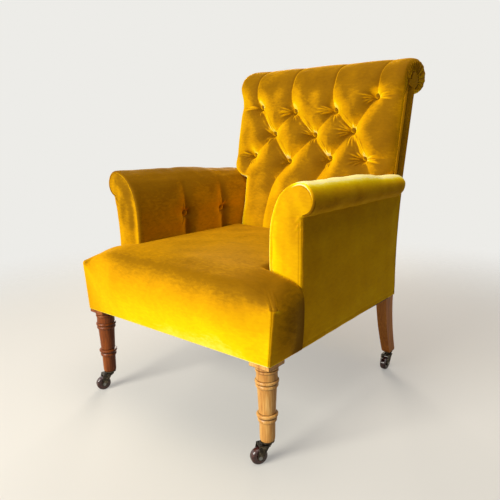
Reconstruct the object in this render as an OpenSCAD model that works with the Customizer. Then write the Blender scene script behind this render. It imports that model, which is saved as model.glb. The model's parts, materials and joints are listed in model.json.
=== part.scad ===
// Button back armchair, in millimetres. +Z is up and the chair faces -Y.
// The origin is on the floor, under the middle of the chair's box.
// Heights are from the floor. Distances back are from the front legs' axis, until place() moves
// the whole chair to its origin.

/* [Seat] */
// Width over the plain outside panels of the arms
body_w = 601; // [570:1:650]
// From the front legs' axis back to the front of the rear uprights
frame_d = 508; // [470:1:560]
// Height of the cover's lower edge
under_z = 228; // [215:1:245]
// Height of the seat's crown
seat_top = 396; // [385:1:410]
// How far the seat swells past its lower edge
seat_swell = 14; // [6:0.5:18]
// Fall of the seat from its crown to its front edge
seat_fall = 28; // [15:1:34]
// Fall of the seat from its crown to its sides in front of the arms
side_fall = 31; // [15:1:34]
// Height of the seat rails
rail_h = 64; // [50:1:68]
// Thickness of the seat rails
rail_t = 27; // [20:1:32]

/* [Arms] */
// Arm fronts, back from the front legs' axis
arm_front_y = 92; // [70:1:110]
// Height of the arms
arm_top = 580; // [560:1:600]
// Radius of the arms' outward roll
arm_roll_r = 35; // [32:0.5:38]
// How far the roll's middle lies inside the outside panel
arm_roll_in = 6.5; // [4:0.5:9]
// Clear width between the arms at the seat
between_arms = 428; // [410:1:440]
// Height of the arm buttons
arm_button_z = 452; // [440:1:470]
// First arm button, back from the front legs' axis
arm_button_y = 249; // [235:1:265]
// Distance between an arm's two buttons
arm_button_step = 149; // [120:1:160]
// Depth of the arm padding taken up at a button
arm_tuft = 0.45; // [0.2:0.01:0.6]

/* [Back] */
// Height of the back
back_top = 869; // [845:1:900]
// Width of the back over the arms
back_w = 562; // [550:1:570]
// Width of the back between the arms
low_back_w = 410; // [380:1:420]
// Lean of the back from upright, in degrees
back_lean = 11.9; // [8:0.1:16]
// Thickness of the back padding
back_pad_t = 33; // [26:1:40]
// More padding at the small of the back
lumbar = 20; // [10:1:24]
// Half height of the scroll along the top
scroll_h = 47; // [44:1:52]
// Scroll's reach to the rear of its middle
scroll_rear = 65; // [60:1:72]
// Half the distance between the buttons of a row
button_half_step = 67.5; // [60:0.5:70]
// Height of the lowest row of buttons
row_z = 595; // [590:1:605]
// Distance between the rows
row_step = 73; // [66:1:76]

/* [Buttons] */
// Radius of a covered button
button_r = 10.5; // [8:0.5:12]
// Thickness of a covered button
button_t = 5; // [4:0.5:8]

/* [Legs] */
// Side of the square block on top of a front leg
leg_block = 51; // [46:1:54]
// How far that block shows below the cover
block_drop = 9.5; // [8:0.5:24]
// Largest radius of the turning
collar_r = 25; // [22:0.5:25]
// Radius of the foot
foot_r = 16.3; // [15.5:0.1:18]
// Width of a rear leg at the seat
rear_leg_w = 32; // [28:1:36]
// Width of a rear leg at its foot
rear_foot_w = 24; // [22:1:28]
// Depth of a rear leg at the seat
rear_leg_d = 42; // [38:1:46]
// Depth of a rear leg at its foot
rear_foot_d = 34; // [30:1:38]
// How far a rear leg runs back to its foot
rear_splay = 40; // [20:1:50]

/* [Castors] */
// Height of a castor, which is the height of the legs' ends
castor_h = 50; // [48:1:56]
// Radius of a castor wheel
wheel_r = 18; // [14:0.5:18.5]
// Width of a castor wheel
wheel_w = 17; // [12:0.5:20]
// Distance of the wheel's axle from the swivel pin
trail = 20; // [14:0.5:22]
// Radius of the swivel pin
pin_r = 4; // [3:0.1:4.5]
// Radius of the wheel's axle
axle_r = 2.5; // [2:0.1:3]
// Thickness of the horn's cheeks
cheek_t = 3; // [2:0.1:4]

/* [Covers] */
// Thickness of a plain panel of velvet over wadding
panel_t = 2.5; // [1.5:0.1:3.5]
// Gap between a cover and what it lies on
cover_gap = 0.5; // [0.3:0.1:0.8]
// Thickness of the hessian under the stuffing
hessian_t = 1.2; // [0.8:0.1:1.4]
// Width of the webbing
web_w = 50; // [40:1:52]
// Thickness of the webbing
web_t = 1.3; // [1:0.1:1.5]

/* [Hidden] */
$fn = 48;

velvet = "goldenrod";
shown_wood = "sienna";
frame_wood = "burlywood";
brass = "darkgoldenrod";
china = "saddlebrown";
jute = "tan";
steel = "silver";

// Gap between pieces that lie on each other
touch_gap = 0.3;

// Seat frame
half_w = body_w / 2;
rail_out = half_w - panel_t - cover_gap;
leg_half = leg_block / 2;
leg_x = rail_out - leg_half;
hem = 5;
rail_z0 = under_z + hem;
rail_z1 = rail_z0 + rail_h;
seat_z0 = rail_z1 + hessian_t + cover_gap + touch_gap;
rail_front = -leg_half;
rail_in = rail_out - rail_t;
arm_half = between_arms / 2;

// Rear uprights: straight below the seat, then bent back to the lean of the upper back
lean = tan(back_lean);
bend_z0 = rail_z0 + 34;
bend_len = 233;
thin_post_d = 30;
post_top_w = 24;
upright_inset = 8.5;
upright_x = rail_out - upright_inset;
upright_top_x = back_w / 2;
function bend(z) = z <= bend_z0 ? 0
    : z < bend_z0 + bend_len ? lean * pow(z - bend_z0, 2) / (2 * bend_len)
    : lean * (z - bend_z0 - bend_len / 2);
function splay(z) = pow(max(0, (rail_z0 - z) / (rail_z0 - castor_h)), 1.8);
function post_front(z) = frame_d + bend(z) + rear_splay * splay(z);
function post_depth(z) = z < rail_z0
    ? rear_leg_d + (rear_foot_d - rear_leg_d) * (rail_z0 - z) / (rail_z0 - castor_h)
    : rear_leg_d + (thin_post_d - rear_leg_d) * min(1, max(0, (z - bend_z0) / bend_len));
function post_rear(z) = post_front(z) + post_depth(z);
back_rail_y = post_rear(rail_z1) - rail_t;
rear_castor_y = frame_d + rear_splay + rear_foot_d / 2;
rear_foot_in = 1;
rear_castor_x = upright_x - rear_foot_in - rear_foot_w / 2;

// Back and its scroll
back_half = back_w / 2;
low_half = low_back_w / 2;
scroll_z = back_top - scroll_h;
crest_neck = 29;
post_top = scroll_z - crest_neck;
scroll_back = 63;
scroll_y = post_front(post_top) + scroll_back;
scroll_fore = 85;
scroll_stuffing = 21;
core_fore = scroll_fore - scroll_stuffing + 0.5;
core_rear = scroll_rear - scroll_stuffing - 5;
core_h = scroll_h - scroll_stuffing;
pad_gap = 2.5;
lumbar_z = seat_top - 6;
lumbar_h = 110;

// Box and origin
front_y = rail_front - cover_gap - panel_t - seat_swell - cover_gap;
front_crown = 1.5;
box_front = front_y - front_crown;
box_rear = scroll_y + scroll_rear;
mid_y = (box_front + box_rear) / 2;
module place() { translate([0, -mid_y, 0]) children(); }
module mirrored(side) { mirror([side < 0 ? 1 : 0, 0, 0]) children(); }

// Arm frame and roll
roll_x = half_w - arm_roll_in;
roll_z = arm_top - arm_roll_r;
stump_w = 30;
stump_d = 30;
stump_gap = 5.5;
stump_in = rail_out - stump_gap - stump_w;
arm_rail_h = 28;
arm_rail_w = 50;
arm_rail_z0 = roll_z + 1 - arm_rail_h;
arm_back_in = stump_in - cover_gap - hessian_t - touch_gap;
facing_t = 7.4;
facing_y = arm_front_y - touch_gap - facing_t;
seat_split = facing_y - touch_gap;
roll_fall = 11;
arm_flare = 105;
arm_flare_out = 12;

// Buttons
smile_low = 12;
smile_mid = 14;
smile_high = 24;
smile = [smile_low, smile_mid, smile_high];
function row_height(r) = row_z + r * row_step;
back_button_list = [
    for (r = [0 : 2], k = (r == 1 ? [-2, 0, 2] : [-3, -1, 1, 3]))
        [k * button_half_step, row_height(r) + smile[r] * pow(k / 3, 2)]
];
seat_back_y = min([for (z = [seat_z0 : 10 : seat_top + 20])
    post_front(z) - pad_gap - back_thick(z)]) - 1;

// A closed pad between an outer and an inner surface, both grids of points of the same size
function strip(a, b, n, step, flip) = [
    for (i = [0 : n - 2]) let (p = a + i * step, q = p + step, r = b + i * step, s = r + step)
        each (flip ? [[p, s, q], [p, r, s]] : [[p, q, s], [p, s, r]])
];
function sheet_faces(rows, cols, base, flip) = [
    for (r = [0 : rows - 2])
        each strip(base + r * cols, base + (r + 1) * cols, cols, 1, flip)
];
module padded(outer, inner, flip = false) {
    rows = len(outer);
    cols = len(outer[0]);
    n = rows * cols;
    pts = [for (r = concat(outer, inner)) each r];
    faces = concat(
        sheet_faces(rows, cols, 0, flip),
        sheet_faces(rows, cols, n, !flip),
        strip(0, n, cols, 1, !flip),
        strip((rows - 1) * cols, n + (rows - 1) * cols, cols, 1, flip),
        strip(0, n, rows, cols, flip),
        strip(cols - 1, n + cols - 1, rows, cols, !flip)
    );
    polyhedron(pts, faces);
}

// Distance from point p to the segment a-b
function seg_dist(p, a, b) = let (
    d = b - a,
    t = max(0, min(1, ((p - a) * d) / (d * d)))
) norm(p - a - t * d);
function bump(r, s) = exp(-r * r / (2 * s * s));
function ease(t) = let (c = max(0, min(1, t))) c * c * (3 - 2 * c);

// Frame of the seat
module front_rail() {
    color(frame_wood) translate([-(leg_x - leg_half), rail_front, rail_z0])
        cube([2 * (leg_x - leg_half), rail_t, rail_h]);
}
module back_rail() {
    x = upright_x - rear_leg_w;
    color(frame_wood) translate([-x, back_rail_y, rail_z0]) cube([2 * x, rail_t, rail_h]);
}
module side_rail(side) {
    color(frame_wood) mirrored(side) translate([rail_in, leg_half, rail_z0])
        cube([rail_t, frame_d - leg_half, rail_h]);
}
module corner_blocks() {
    fx = leg_x - leg_half;
    fy = rail_front + rail_t;
    rx = upright_x - rear_leg_w;
    ry = back_rail_y;
    run = 42;
    margin = 7;
    color(frame_wood) for (side = [-1, 1]) mirrored(side) {
        translate([0, 0, rail_z0 + margin]) linear_extrude(rail_h - 2 * margin)
            polygon([[fx - run, fy], [fx, fy], [fx, leg_half], [rail_in, leg_half],
                     [rail_in, leg_half + run]]);
        translate([0, 0, rail_z0 + margin]) linear_extrude(rail_h - 2 * margin)
            polygon([[rx - run, ry], [rx, ry], [rx, frame_d], [rail_in, frame_d],
                     [rail_in, frame_d - run]]);
    }
}

// Turned front leg: [height, radius] up its outline
block_z = under_z - block_drop;
foot_top = castor_h + 44.5;
leg_shape = [
    [castor_h, foot_r - 2.3], [castor_h + 2, foot_r - 0.6], [castor_h + 8, foot_r],
    [foot_top, foot_r + 0.5], [foot_top + 1, foot_r + 2.8], [foot_top + 3.5, foot_r + 4],
    [foot_top + 6.5, foot_r + 4], [foot_top + 8.5, foot_r + 2.6], [foot_top + 10, foot_r + 2.2],
    [foot_top + 12.5, foot_r + 3], [foot_top + 13.5, foot_r + 6], [foot_top + 17, foot_r + 6.4],
    [foot_top + 18.5, foot_r + 5], [foot_top + 19.5, foot_r + 1.4], [block_z - 47, collar_r - 4.6],
    [block_z - 46, collar_r - 2.6], [block_z - 43.5, collar_r - 1.4], [block_z - 41, collar_r - 1.6],
    [block_z - 39.5, collar_r - 2.6], [block_z - 37.5, collar_r - 2.8], [block_z - 36, collar_r - 1.8],
    [block_z - 35.2, collar_r - 0.2], [block_z - 32, collar_r], [block_z - 30.5, collar_r - 1],
    [block_z - 29.5, collar_r - 2.8], [block_z - 13, collar_r - 3], [block_z - 12.2, collar_r - 1.6],
    [block_z - 10, collar_r - 1], [block_z - 8, collar_r - 1.6], [block_z - 7.2, collar_r - 3],
    [block_z - 6.2, collar_r - 3], [block_z - 5.4, collar_r - 1.2], [block_z - 3, collar_r - 0.6],
    [block_z - 0.8, collar_r - 1.2], [block_z, collar_r - 2]
];
module front_leg(side) {
    color(shown_wood) mirrored(side) translate([leg_x, 0, 0]) difference() {
        union() {
            rotate_extrude() polygon(concat(
                [[0, castor_h]], [for (p = leg_shape) [p[1], p[0]]],
                [[collar_r - 2, block_z + 1], [0, block_z + 1]]));
            translate([-leg_half, -leg_half, block_z])
                cube([leg_block, leg_block, rail_z1 - block_z]);
        }
        screw_holes();
    }
}

// Rear leg and back upright in one piece: its side outline crossed with its front outline
upright_steps = 16;
leg_steps = 8;
foot_ease = 5;
upright_levels = concat(
    [castor_h, castor_h + foot_ease],
    [for (i = [1 : leg_steps - 1]) castor_h + (rail_z0 - castor_h) * i / leg_steps],
    [rail_z0],
    [for (i = [0 : upright_steps]) bend_z0 + bend_len * i / upright_steps],
    [post_top]
);
last_level = len(upright_levels) - 1;
module side_outline(levels, front, rear) {
    n = len(levels) - 1;
    polygon(concat(
        [for (i = [0 : n]) [front[i], levels[i]]],
        [for (i = [n : -1 : 0]) [rear[i], levels[i]]]));
}
function levels_from(z0, z1) =
    concat([z0], [for (z = upright_levels) if (z > z0 + 1 && z < z1 - 1) z], [z1]);
module from_side(x0, width) {
    translate([x0, 0, 0]) rotate([90, 0, 90]) linear_extrude(width) children();
}
module rear_upright(side) {
    foot_out = upright_x - rear_foot_in;
    step_z0 = arm_rail_z0 - 60;
    step_z1 = arm_rail_z0 - 10;
    color(shown_wood) mirrored(side) difference() {
        intersection() {
            from_side(0, half_w) side_outline(upright_levels,
                [for (z = upright_levels) post_front(z) + (z > castor_h ? 0 : 2.5)],
                [for (z = upright_levels) post_rear(z) - (z > castor_h ? 0 : 3)]);
            rotate([90, 0, 0]) translate([0, 0, -2 * box_rear]) linear_extrude(3 * box_rear)
                polygon([[foot_out - rear_foot_w + 1.2, castor_h],
                    [foot_out - rear_foot_w, castor_h + foot_ease - 1], [upright_x - rear_leg_w, rail_z0],
                    [upright_x - rear_leg_w, step_z0], [upright_top_x - post_top_w, step_z1],
                    [upright_top_x - post_top_w, post_top], [upright_top_x, post_top],
                    [upright_top_x, step_z1], [upright_x, step_z0], [upright_x, rail_z0],
                    [foot_out, castor_h + foot_ease - 1], [foot_out - 1.2, castor_h]]);
        }
        translate([rear_castor_x, rear_castor_y, 0]) screw_holes();
    }
}

// Rails of the back
tacking_lift = 55;
tacking_h = 36;
tacking_d = 24;
arm_tacking_h = 25;
arm_tacking_w = 20;
tacking_z0 = rail_z1 + tacking_lift;
module crest_rail() {
    front = post_front(post_top);
    color(frame_wood) from_side(-upright_top_x, 2 * upright_top_x) polygon(concat(
        [for (a = arc_angles) scroll_point(a, core_fore - 1, core_rear - 1, core_h - 1)],
        [[front + thin_post_d, post_top], [front, post_top]]));
}
module back_tacking_rail() {
    x = upright_x - rear_leg_w;
    levels = levels_from(tacking_z0, tacking_z0 + tacking_h);
    color(frame_wood) from_side(-x, 2 * x) side_outline(levels,
        [for (z = levels) post_front(z)], [for (z = levels) post_front(z) + tacking_d]);
}

// Arm frame
module arm_stump(side) {
    color(frame_wood) mirrored(side) translate([stump_in, arm_front_y, rail_z1])
        cube([stump_w, stump_d, arm_rail_z0 - rail_z1]);
}
module arm_rail(side) {
    levels = levels_from(arm_rail_z0, arm_rail_z0 + arm_rail_h);
    color(frame_wood) mirrored(side) from_side(stump_in, arm_rail_w)
        side_outline(levels, [for (z = levels) arm_front_y], [for (z = levels) post_front(z)]);
}
module arm_tacking_rail(side) {
    levels = levels_from(tacking_z0, tacking_z0 + arm_tacking_h);
    y = arm_front_y + stump_d;
    color(frame_wood) mirrored(side) from_side(stump_in, arm_tacking_w)
        side_outline(levels, [for (z = levels) y], [for (z = levels) post_front(z)]);
}
module arm_hessian(side) {
    levels = levels_from(seat_z0 + 1, arm_rail_z0 + arm_rail_h - 2);
    color(jute) mirrored(side) from_side(stump_in - cover_gap / 2 - hessian_t, hessian_t)
        side_outline(levels, [for (z = levels) arm_front_y + 1],
            [for (z = levels) post_front(z) - web_t - 1]);
}

// Webbing, springs and hessian that hold the seat up
module seat_webbing() {
    x_run = rail_in + 14;
    y0 = rail_front + rail_t - 14;
    y1 = back_rail_y + 10;
    free_x = upright_x - rear_leg_w - 12;
    free_y0 = leg_half + 8;
    free_y1 = frame_d - 12;
    color(jute) {
        for (i = [0 : 4]) {
            x = -free_x + web_w / 2 + (2 * free_x - web_w) * i / 4;
            translate([x - web_w / 2, y0, rail_z0 - web_t]) cube([web_w, y1 - y0, web_t]);
        }
        for (i = [0 : 3]) {
            y = free_y0 + web_w / 2 + (free_y1 - free_y0 - web_w) * i / 3;
            translate([-x_run, y - web_w / 2, rail_z0 - 2 * web_t])
                cube([2 * x_run, web_w, web_t]);
        }
    }
}
module bottom_cloth() {
    t = 1.2;
    z = rail_z0 - 2 * web_t - t;
    fx = leg_x - leg_half - 1;
    fy = leg_half + 1;
    rx = upright_x - rear_leg_w - 2;
    ry = frame_d - 2;
    x = rail_out - 3;
    y0 = rail_front + 3;
    y1 = back_rail_y + rail_t - 3;
    color("dimgray") translate([0, 0, z]) linear_extrude(t)
        polygon([[-fx, y0], [fx, y0], [fx, fy], [x, fy], [x, ry], [rx, ry], [rx, y1],
            [-rx, y1], [-rx, ry], [-x, ry], [-x, fy], [-fx, fy]]);
}

// Underside of the stuffing, which the springs hold in a dome
dome_h = 46;
dome_edge = 36;
function dome(x, y) = seat_z0 + dome_h
    * ease((arm_half - abs(x)) / 26)
    * ease((y - rail_front - rail_t) / dome_edge)
    * ease((seat_back_y - y) / dome_edge);

// Columns and rows that the hessian, the front edge and the seat pad share
seat_half = arm_half - cover_gap;
pad_edges = [0, 2, 7, 16, 28];
pad_cols = concat(
    [for (e = pad_edges) -seat_half + e],
    [for (i = [1 : 7]) (seat_half - 28) * (i / 4 - 1)],
    [for (i = [4 : -1 : 0]) seat_half - pad_edges[i]]);
pad_last = len(pad_cols) - 1;
front_rows_in = [for (i = [0 : 3]) rail_front + rail_t + dome_edge * i / 3];
pad_rows = concat(
    [for (i = [0 : 8]) seat_split + (seat_back_y - 38 - seat_split) * i / 8],
    [for (d = [26, 13, 0]) seat_back_y - d]);
module spring_hessian() {
    inside = stump_in - 2;
    on_rail = rail_in + 12;
    y0 = arm_front_y - 3;
    y1 = arm_front_y + stump_d + 3;
    z_gap = cover_gap + hessian_t;
    rows = concat([rail_front + 14], front_rows_in, [seat_split - 2, y0, y1, y1 + 3],
        [for (i = [3, 5, 7, 8, 9, 10, 11]) pad_rows[i]], [frame_d - 4, back_rail_y + 12]);
    function half_at(y) = y > y0 - 1 && y < y1 + 1 ? inside
        : y > frame_d - 5 ? inside - 6 : on_rail;
    function cols(y) = concat([-half_at(y)], pad_cols, [half_at(y)]);
    color(jute) padded(
        [for (y = rows) [for (x = cols(y)) [x, y, dome(x, y) - cover_gap]]],
        [for (y = rows) [for (x = cols(y)) [x, y, dome(x, y) - z_gap]]], true);
}

// Waisted coil spring: one wire swept along a helix whose radius narrows at its middle
spring_turns = 4;
spring_steps = 8;
spring_sides = 5;
wire_r = 1.8;
spring_r = 36;
spring_waist = 11;
spring_foot = rail_z0 + wire_r + touch_gap;
spring_head = seat_z0 + dome_h - cover_gap - hessian_t - wire_r - touch_gap;
function spring_at(t) = let (
    a = 360 * spring_turns * t,
    r = spring_r - spring_waist * sin(180 * t)
) [r * cos(a), r * sin(a), spring_foot + (spring_head - spring_foot) * t];
module coil_spring() {
    n = spring_turns * spring_steps;
    m = spring_sides;
    pts = [for (i = [0 : n]) let (
            p = spring_at(i / n),
            a = 360 * spring_turns * i / n,
            out = [cos(a), sin(a), 0])
        for (k = [0 : m - 1])
            p + wire_r * (cos(360 * k / m) * out + sin(360 * k / m) * [0, 0, 1])];
    faces = concat(
        [for (i = [0 : n - 1], k = [0 : m - 1]) let (
                a = i * m + k, b = i * m + (k + 1) % m, c = a + m, d = b + m)
            each [[a, b, d], [a, d, c]]],
        [for (k = [1 : m - 2]) [0, k + 1, k]],
        [for (k = [1 : m - 2]) [n * m, n * m + k, n * m + k + 1]]);
    polyhedron(pts, faces);
}
module seat_springs() {
    x_step = arm_half - 26 - spring_r - 14;
    y0 = rail_front + rail_t + dome_edge + spring_r + 3;
    y1 = seat_back_y - dome_edge - spring_r - 3;
    color(steel) for (i = [-1 : 1], j = [0 : 2])
        translate([i * x_step, y0 + (y1 - y0) * j / 2, 0]) coil_spring();
}
module back_webbing() {
    high_z = arm_rail_z0 + arm_rail_h + 8;
    high_step = (post_top - web_w - 10 - high_z) / 3;
    starts = concat([tacking_z0 + tacking_h + 12], [for (i = [0 : 3]) high_z + i * high_step]);
    color(jute) for (z = starts) {
        x = z < high_z ? upright_x - 6 : upright_top_x - 8;
        levels = levels_from(z, z + web_w);
        from_side(-x, 2 * x) side_outline(levels,
            [for (z = levels) post_front(z) - touch_gap - web_t],
            [for (z = levels) post_front(z) - touch_gap]);
    }
}

// Seat: crown, and its fall to the front and to the sides in front of the arms
function seat_height(x, y) = seat_top
    - seat_fall * pow(max(0, 60 - y) / 105, 2)
    - side_fall * pow(max(0, abs(x) - 190) / 120, 2);
edge_in = [0, 1, 4, 11, 26, 52];
edge_rise = [0, 0.45, 0.74, 0.92, 1, 1];
function rise(i, n) = min(i, n) > 4 ? 1 : edge_rise[min(i, n)];
seat_out = half_w + seat_swell;
front_cols = concat(
    [for (e = edge_in) -seat_out + e], [-(seat_out - 52 + seat_half) / 2], pad_cols,
    [(seat_out - 52 + seat_half) / 2], [for (i = [5 : -1 : 0]) seat_out - edge_in[i]]);
front_last = len(front_cols) - 1;
front_rows = concat(
    [for (e = [0, 1, 4, 11, 26]) box_front + e], front_rows_in,
    [(front_rows_in[3] + seat_split) / 2, seat_split]);
module seat_front() {
    color(velvet) padded(
        [for (j = [0 : len(front_rows) - 1]) let (y = front_rows[j])
            [for (i = [0 : front_last]) let (
                    x = front_cols[i],
                    f = min(rise(i, front_last - i), rise(j, 9)))
                [x, y, seat_z0 + 0.6 + (seat_height(x, y) - seat_z0) * f]]],
        [for (y = front_rows) [for (x = front_cols) [x, y, dome(x, y)]]], true);
}

// Border round the front of the seat, from the left arm to the right, drawn in at its lower edge
border_rows = [0, 0.25, 0.5, 0.75, 1];
border_top = seat_z0 - touch_gap;
function border_path(side_x, y_front) = concat(
    [for (i = [0 : 3]) [-side_x, seat_split + (y_front - seat_split) * i / 4]],
    [for (i = [0 : 12]) [side_x * (i / 6 - 1), y_front]],
    [for (i = [3 : -1 : 0]) [side_x, seat_split + (y_front - seat_split) * i / 4]]);
module seat_border() {
    inner_x = rail_out + cover_gap;
    inner_y = rail_front - cover_gap;
    low_y = inner_y - panel_t;
    color(velvet) padded(
        [for (r = border_rows) let (
                s = sin(90 * r),
                path = border_path(half_w + seat_swell * s, low_y + (box_front - low_y) * s))
            [for (p = path) [p[0], p[1], under_z + (border_top - under_z) * r]]],
        [for (r = border_rows) [for (p = border_path(inner_x, inner_y))
            [p[0], p[1], under_z + (border_top - under_z) * r]]], true);
}

// Main seat cushion, between the arms
pad_rise = [0, 0.5, 0.8, 0.95, 1];
module seat_pad() {
    color(velvet) padded(
        [for (j = [0 : len(pad_rows) - 1]) let (y = pad_rows[j], back = seat_back_y - y)
            [for (i = [0 : pad_last]) let (
                    x = pad_cols[i],
                    f = min(i, pad_last - i) > 3 ? 1 : pad_rise[min(i, pad_last - i)],
                    g = back > 28 ? 1 : 1 - 0.22 * pow(1 - back / 28, 2),
                    low = dome(x, y))
                [x, y, low + 3 + (seat_height(x, y) - low - 3) * (0.35 + 0.65 * f) * g]]],
        [for (y = pad_rows) [for (x = pad_cols) [x, y, dome(x, y)]]], true);
}

// Back: pleats run from the top buttons over the scroll and from the lowest down to the seat
pad_k = 12;
tuft_t = 2.6;
back_cols = concat([-back_half], [for (k = [-pad_k : pad_k]) k * button_half_step / 3], [back_half]);
back_foot = rail_z1 + 13;
low_levels = concat(
    [for (i = [0 : 6]) back_foot + (row_z - 30 - back_foot) * i / 6],
    [row_z, row_z + row_step / 2, row_z + row_step, row_z + 1.5 * row_step, row_z + 2 * row_step],
    [for (i = [1 : 2]) row_z + 2 * row_step + (post_top + 7 - row_z - 2 * row_step) * i / 2]);
smile_at = [0, 0, 0, 0, 0, 0, 0, smile_low, (smile_low + smile_mid) / 2, smile_mid,
    (smile_mid + smile_high) / 2, smile_high, smile_high / 2, 0];
arc_angles = [176, 148, 120, 90, 60, 30, 0, -50, -100];
function back_width(z) = low_half + (back_half - low_half) * ease((z - row_z + 42) / 42);
function crease(x, z) = let (p = [x, z]) max(
    max([for (b = back_button_list) 0.92 * bump(norm(p - b), 26)]),
    max([for (a = back_button_list, b = back_button_list)
        (b[1] > a[1] + 30 && b[1] < a[1] + 100 && abs(abs(b[0] - a[0]) - button_half_step) < 1)
            ? 0.45 * bump(seg_dist(p, a, b), 10) : 0]),
    max([for (k = [-3, -1, 1, 3]) let (b = [k * button_half_step, row_height(2) + smile[2] * k * k / 9])
        z > b[1] ? 0.4 * bump(x - b[0], 9) : 0]),
    max([for (k = [-1, 1]) let (b = [k * button_half_step, row_z])
        z < row_z ? 0.35 * bump(x - b[0], 9) * ease((z - seat_top + 60) / 60) : 0]));
function edge_thin(x, half) = 1 - 0.45 * pow(abs(x) / half, 6);
function back_thick(z) = back_pad_t + lumbar * exp(-pow((z - lumbar_z) / lumbar_h, 2));
function scroll_point(a, fore, rear, h) =
    [scroll_y + (cos(a) > 0 ? rear : fore) * cos(a), scroll_z + h * sin(a)];
module back_pad() {
    function narrowed(i) = back_width(low_levels[i]) / back_half;
    function level(i, x) = low_levels[i] + smile_at[i] * pow(x / (3 * button_half_step), 2);
    function thickness(x, z, w) =
        max(tuft_t, back_thick(z) * edge_thin(x, back_half) * (1 - crease(x * w, z)));
    flat_outer = [for (i = [0 : len(low_levels) - 1]) let (w = narrowed(i))
        [for (x = back_cols) let (z = level(i, x))
            [x * w, post_front(z) - pad_gap - thickness(x, z, w), z]]];
    flat_inner = [for (i = [0 : len(low_levels) - 1]) let (w = narrowed(i))
        [for (x = back_cols) let (z = level(i, x)) [x * w, post_front(z) - pad_gap, z]]];
    arc_inner = [for (a = arc_angles) [for (x = back_cols) let (
            p = scroll_point(a, core_fore, core_rear, core_h)) [x, p[0], p[1]]]];
    arc_outer = [for (a = arc_angles) [for (x = back_cols) let (
            q = scroll_point(a, core_fore, core_rear, core_h),
            p = scroll_point(a, scroll_fore, scroll_rear, scroll_h),
            pleat = crease(x, back_top) * ease((a + 110) / 90),
            k = edge_thin(x, back_half) * (1 - pleat),
            s = q + (p - q) * k)
        [x, s[0], s[1]]]];
    color(velvet) padded(concat(flat_outer, arc_outer), concat(flat_inner, arc_inner), true);
}

// Inside arm and its roll, in one pad that goes over the arm rail
arm_rows = concat([seat_z0, seat_z0 + 37],
    [for (i = [-3 : 2]) arm_button_z + 30 * i]);
roll_angles = [180, 157, 135, 112, 90, 67, 45, 22, 0, -25, -50, -75];
arm_stations = [for (k = [-6 : 10]) arm_button_y + k * arm_button_step / 6];
function arm_inside(z) = arm_half + arm_flare_out * ease((z - roll_z) / arm_flare + 1);
function arm_tufts(y, z) = max([for (n = [0, 1]) let (b = arm_button_y + n * arm_button_step)
    max(arm_tuft * bump(norm([y - b, z - arm_button_z]), 22),
        0.4 * arm_tuft * bump(y - b, 8) * ease((z - arm_button_z + 60) / 40))]);
arm_top_in = roll_x - arm_inside(roll_z);
core_top = arm_rail_z0 + arm_rail_h + 0.5;
core_low = arm_rail_z0 - 0.5;
core_out = stump_in + arm_rail_w + 0.5;
arm_core = concat(
    [for (d = [16, 8, 0]) [arm_back_in, core_top - d]],
    [for (i = [1 : 4]) [arm_back_in + (core_out - arm_back_in) * i / 5, core_top]],
    [for (i = [0 : 3]) [core_out, core_top + (core_low - core_top) * i / 3]],
    [[half_w + 2, core_low]]);
module arm_pad(side) {
    z_of = concat(arm_rows, [for (a = roll_angles) roll_z]);
    n = len(arm_rows);
    last = len(arm_stations) + 1;
    function station(j, z) = let (end = post_front(z) - web_t - 1.1) j == 0 ? arm_front_y
        : j == last ? end : min(arm_stations[j - 1], end - 4 * (last - j));
    function outer_point(i, j) = i < n
        ? let (
            z = arm_rows[i],
            y = station(j, z),
            end = 1 - 0.28 * exp(-(y - arm_front_y) / 14),
            t = (arm_back_in - arm_inside(z)) * end * (1 - arm_tufts(y, z)))
            [arm_back_in - t, y, z]
        : let (
            a = roll_angles[i - n],
            y = station(j, core_low),
            fall = a < -10 ? 0 : roll_fall * ease((y - 300) / 200) * sin(max(0, a)),
            w = a > 90 ? arm_top_in : arm_roll_r,
            pull = a > 90 ? 0.28 * exp(-(y - arm_front_y) / 14) * 0.5 : 0)
            [roll_x + w * (1 - pull) * cos(a), y, roll_z + arm_roll_r * sin(a) - fall];
    function inner_point(i, j) = i < n
        ? [arm_back_in, station(j, arm_rows[i]), arm_rows[i]]
        : let (c = arm_core[i - n])
            [c[0], station(j, core_low), c[1]];
    rows = [for (i = [0 : len(z_of) - 1]) [for (j = [0 : last]) outer_point(i, j)]];
    cores = [for (i = [0 : len(z_of) - 1]) [for (j = [0 : last]) inner_point(i, j)]];
    color(velvet) mirrored(side) padded(rows, cores);
}

// Scroll-shaped facing on the front of an arm
module arm_front(side) {
    inside = arm_half + 14;
    r = arm_roll_r - 2;
    w = roll_x - inside;
    color(velvet) mirrored(side) translate([0, facing_y + facing_t, 0]) rotate([90, 0, 0])
        linear_extrude(facing_t) polygon(concat(
            [[half_w, seat_z0 + touch_gap], [inside, seat_z0 + touch_gap]],
            [for (a = [180 : -10 : 90]) [roll_x + w * cos(a), roll_z + r * sin(a)]],
            [for (a = [80 : -10 : -80]) [roll_x + r * cos(a), roll_z + r * sin(a)]],
            [[half_w, roll_z - r - 2]]));
}

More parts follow.
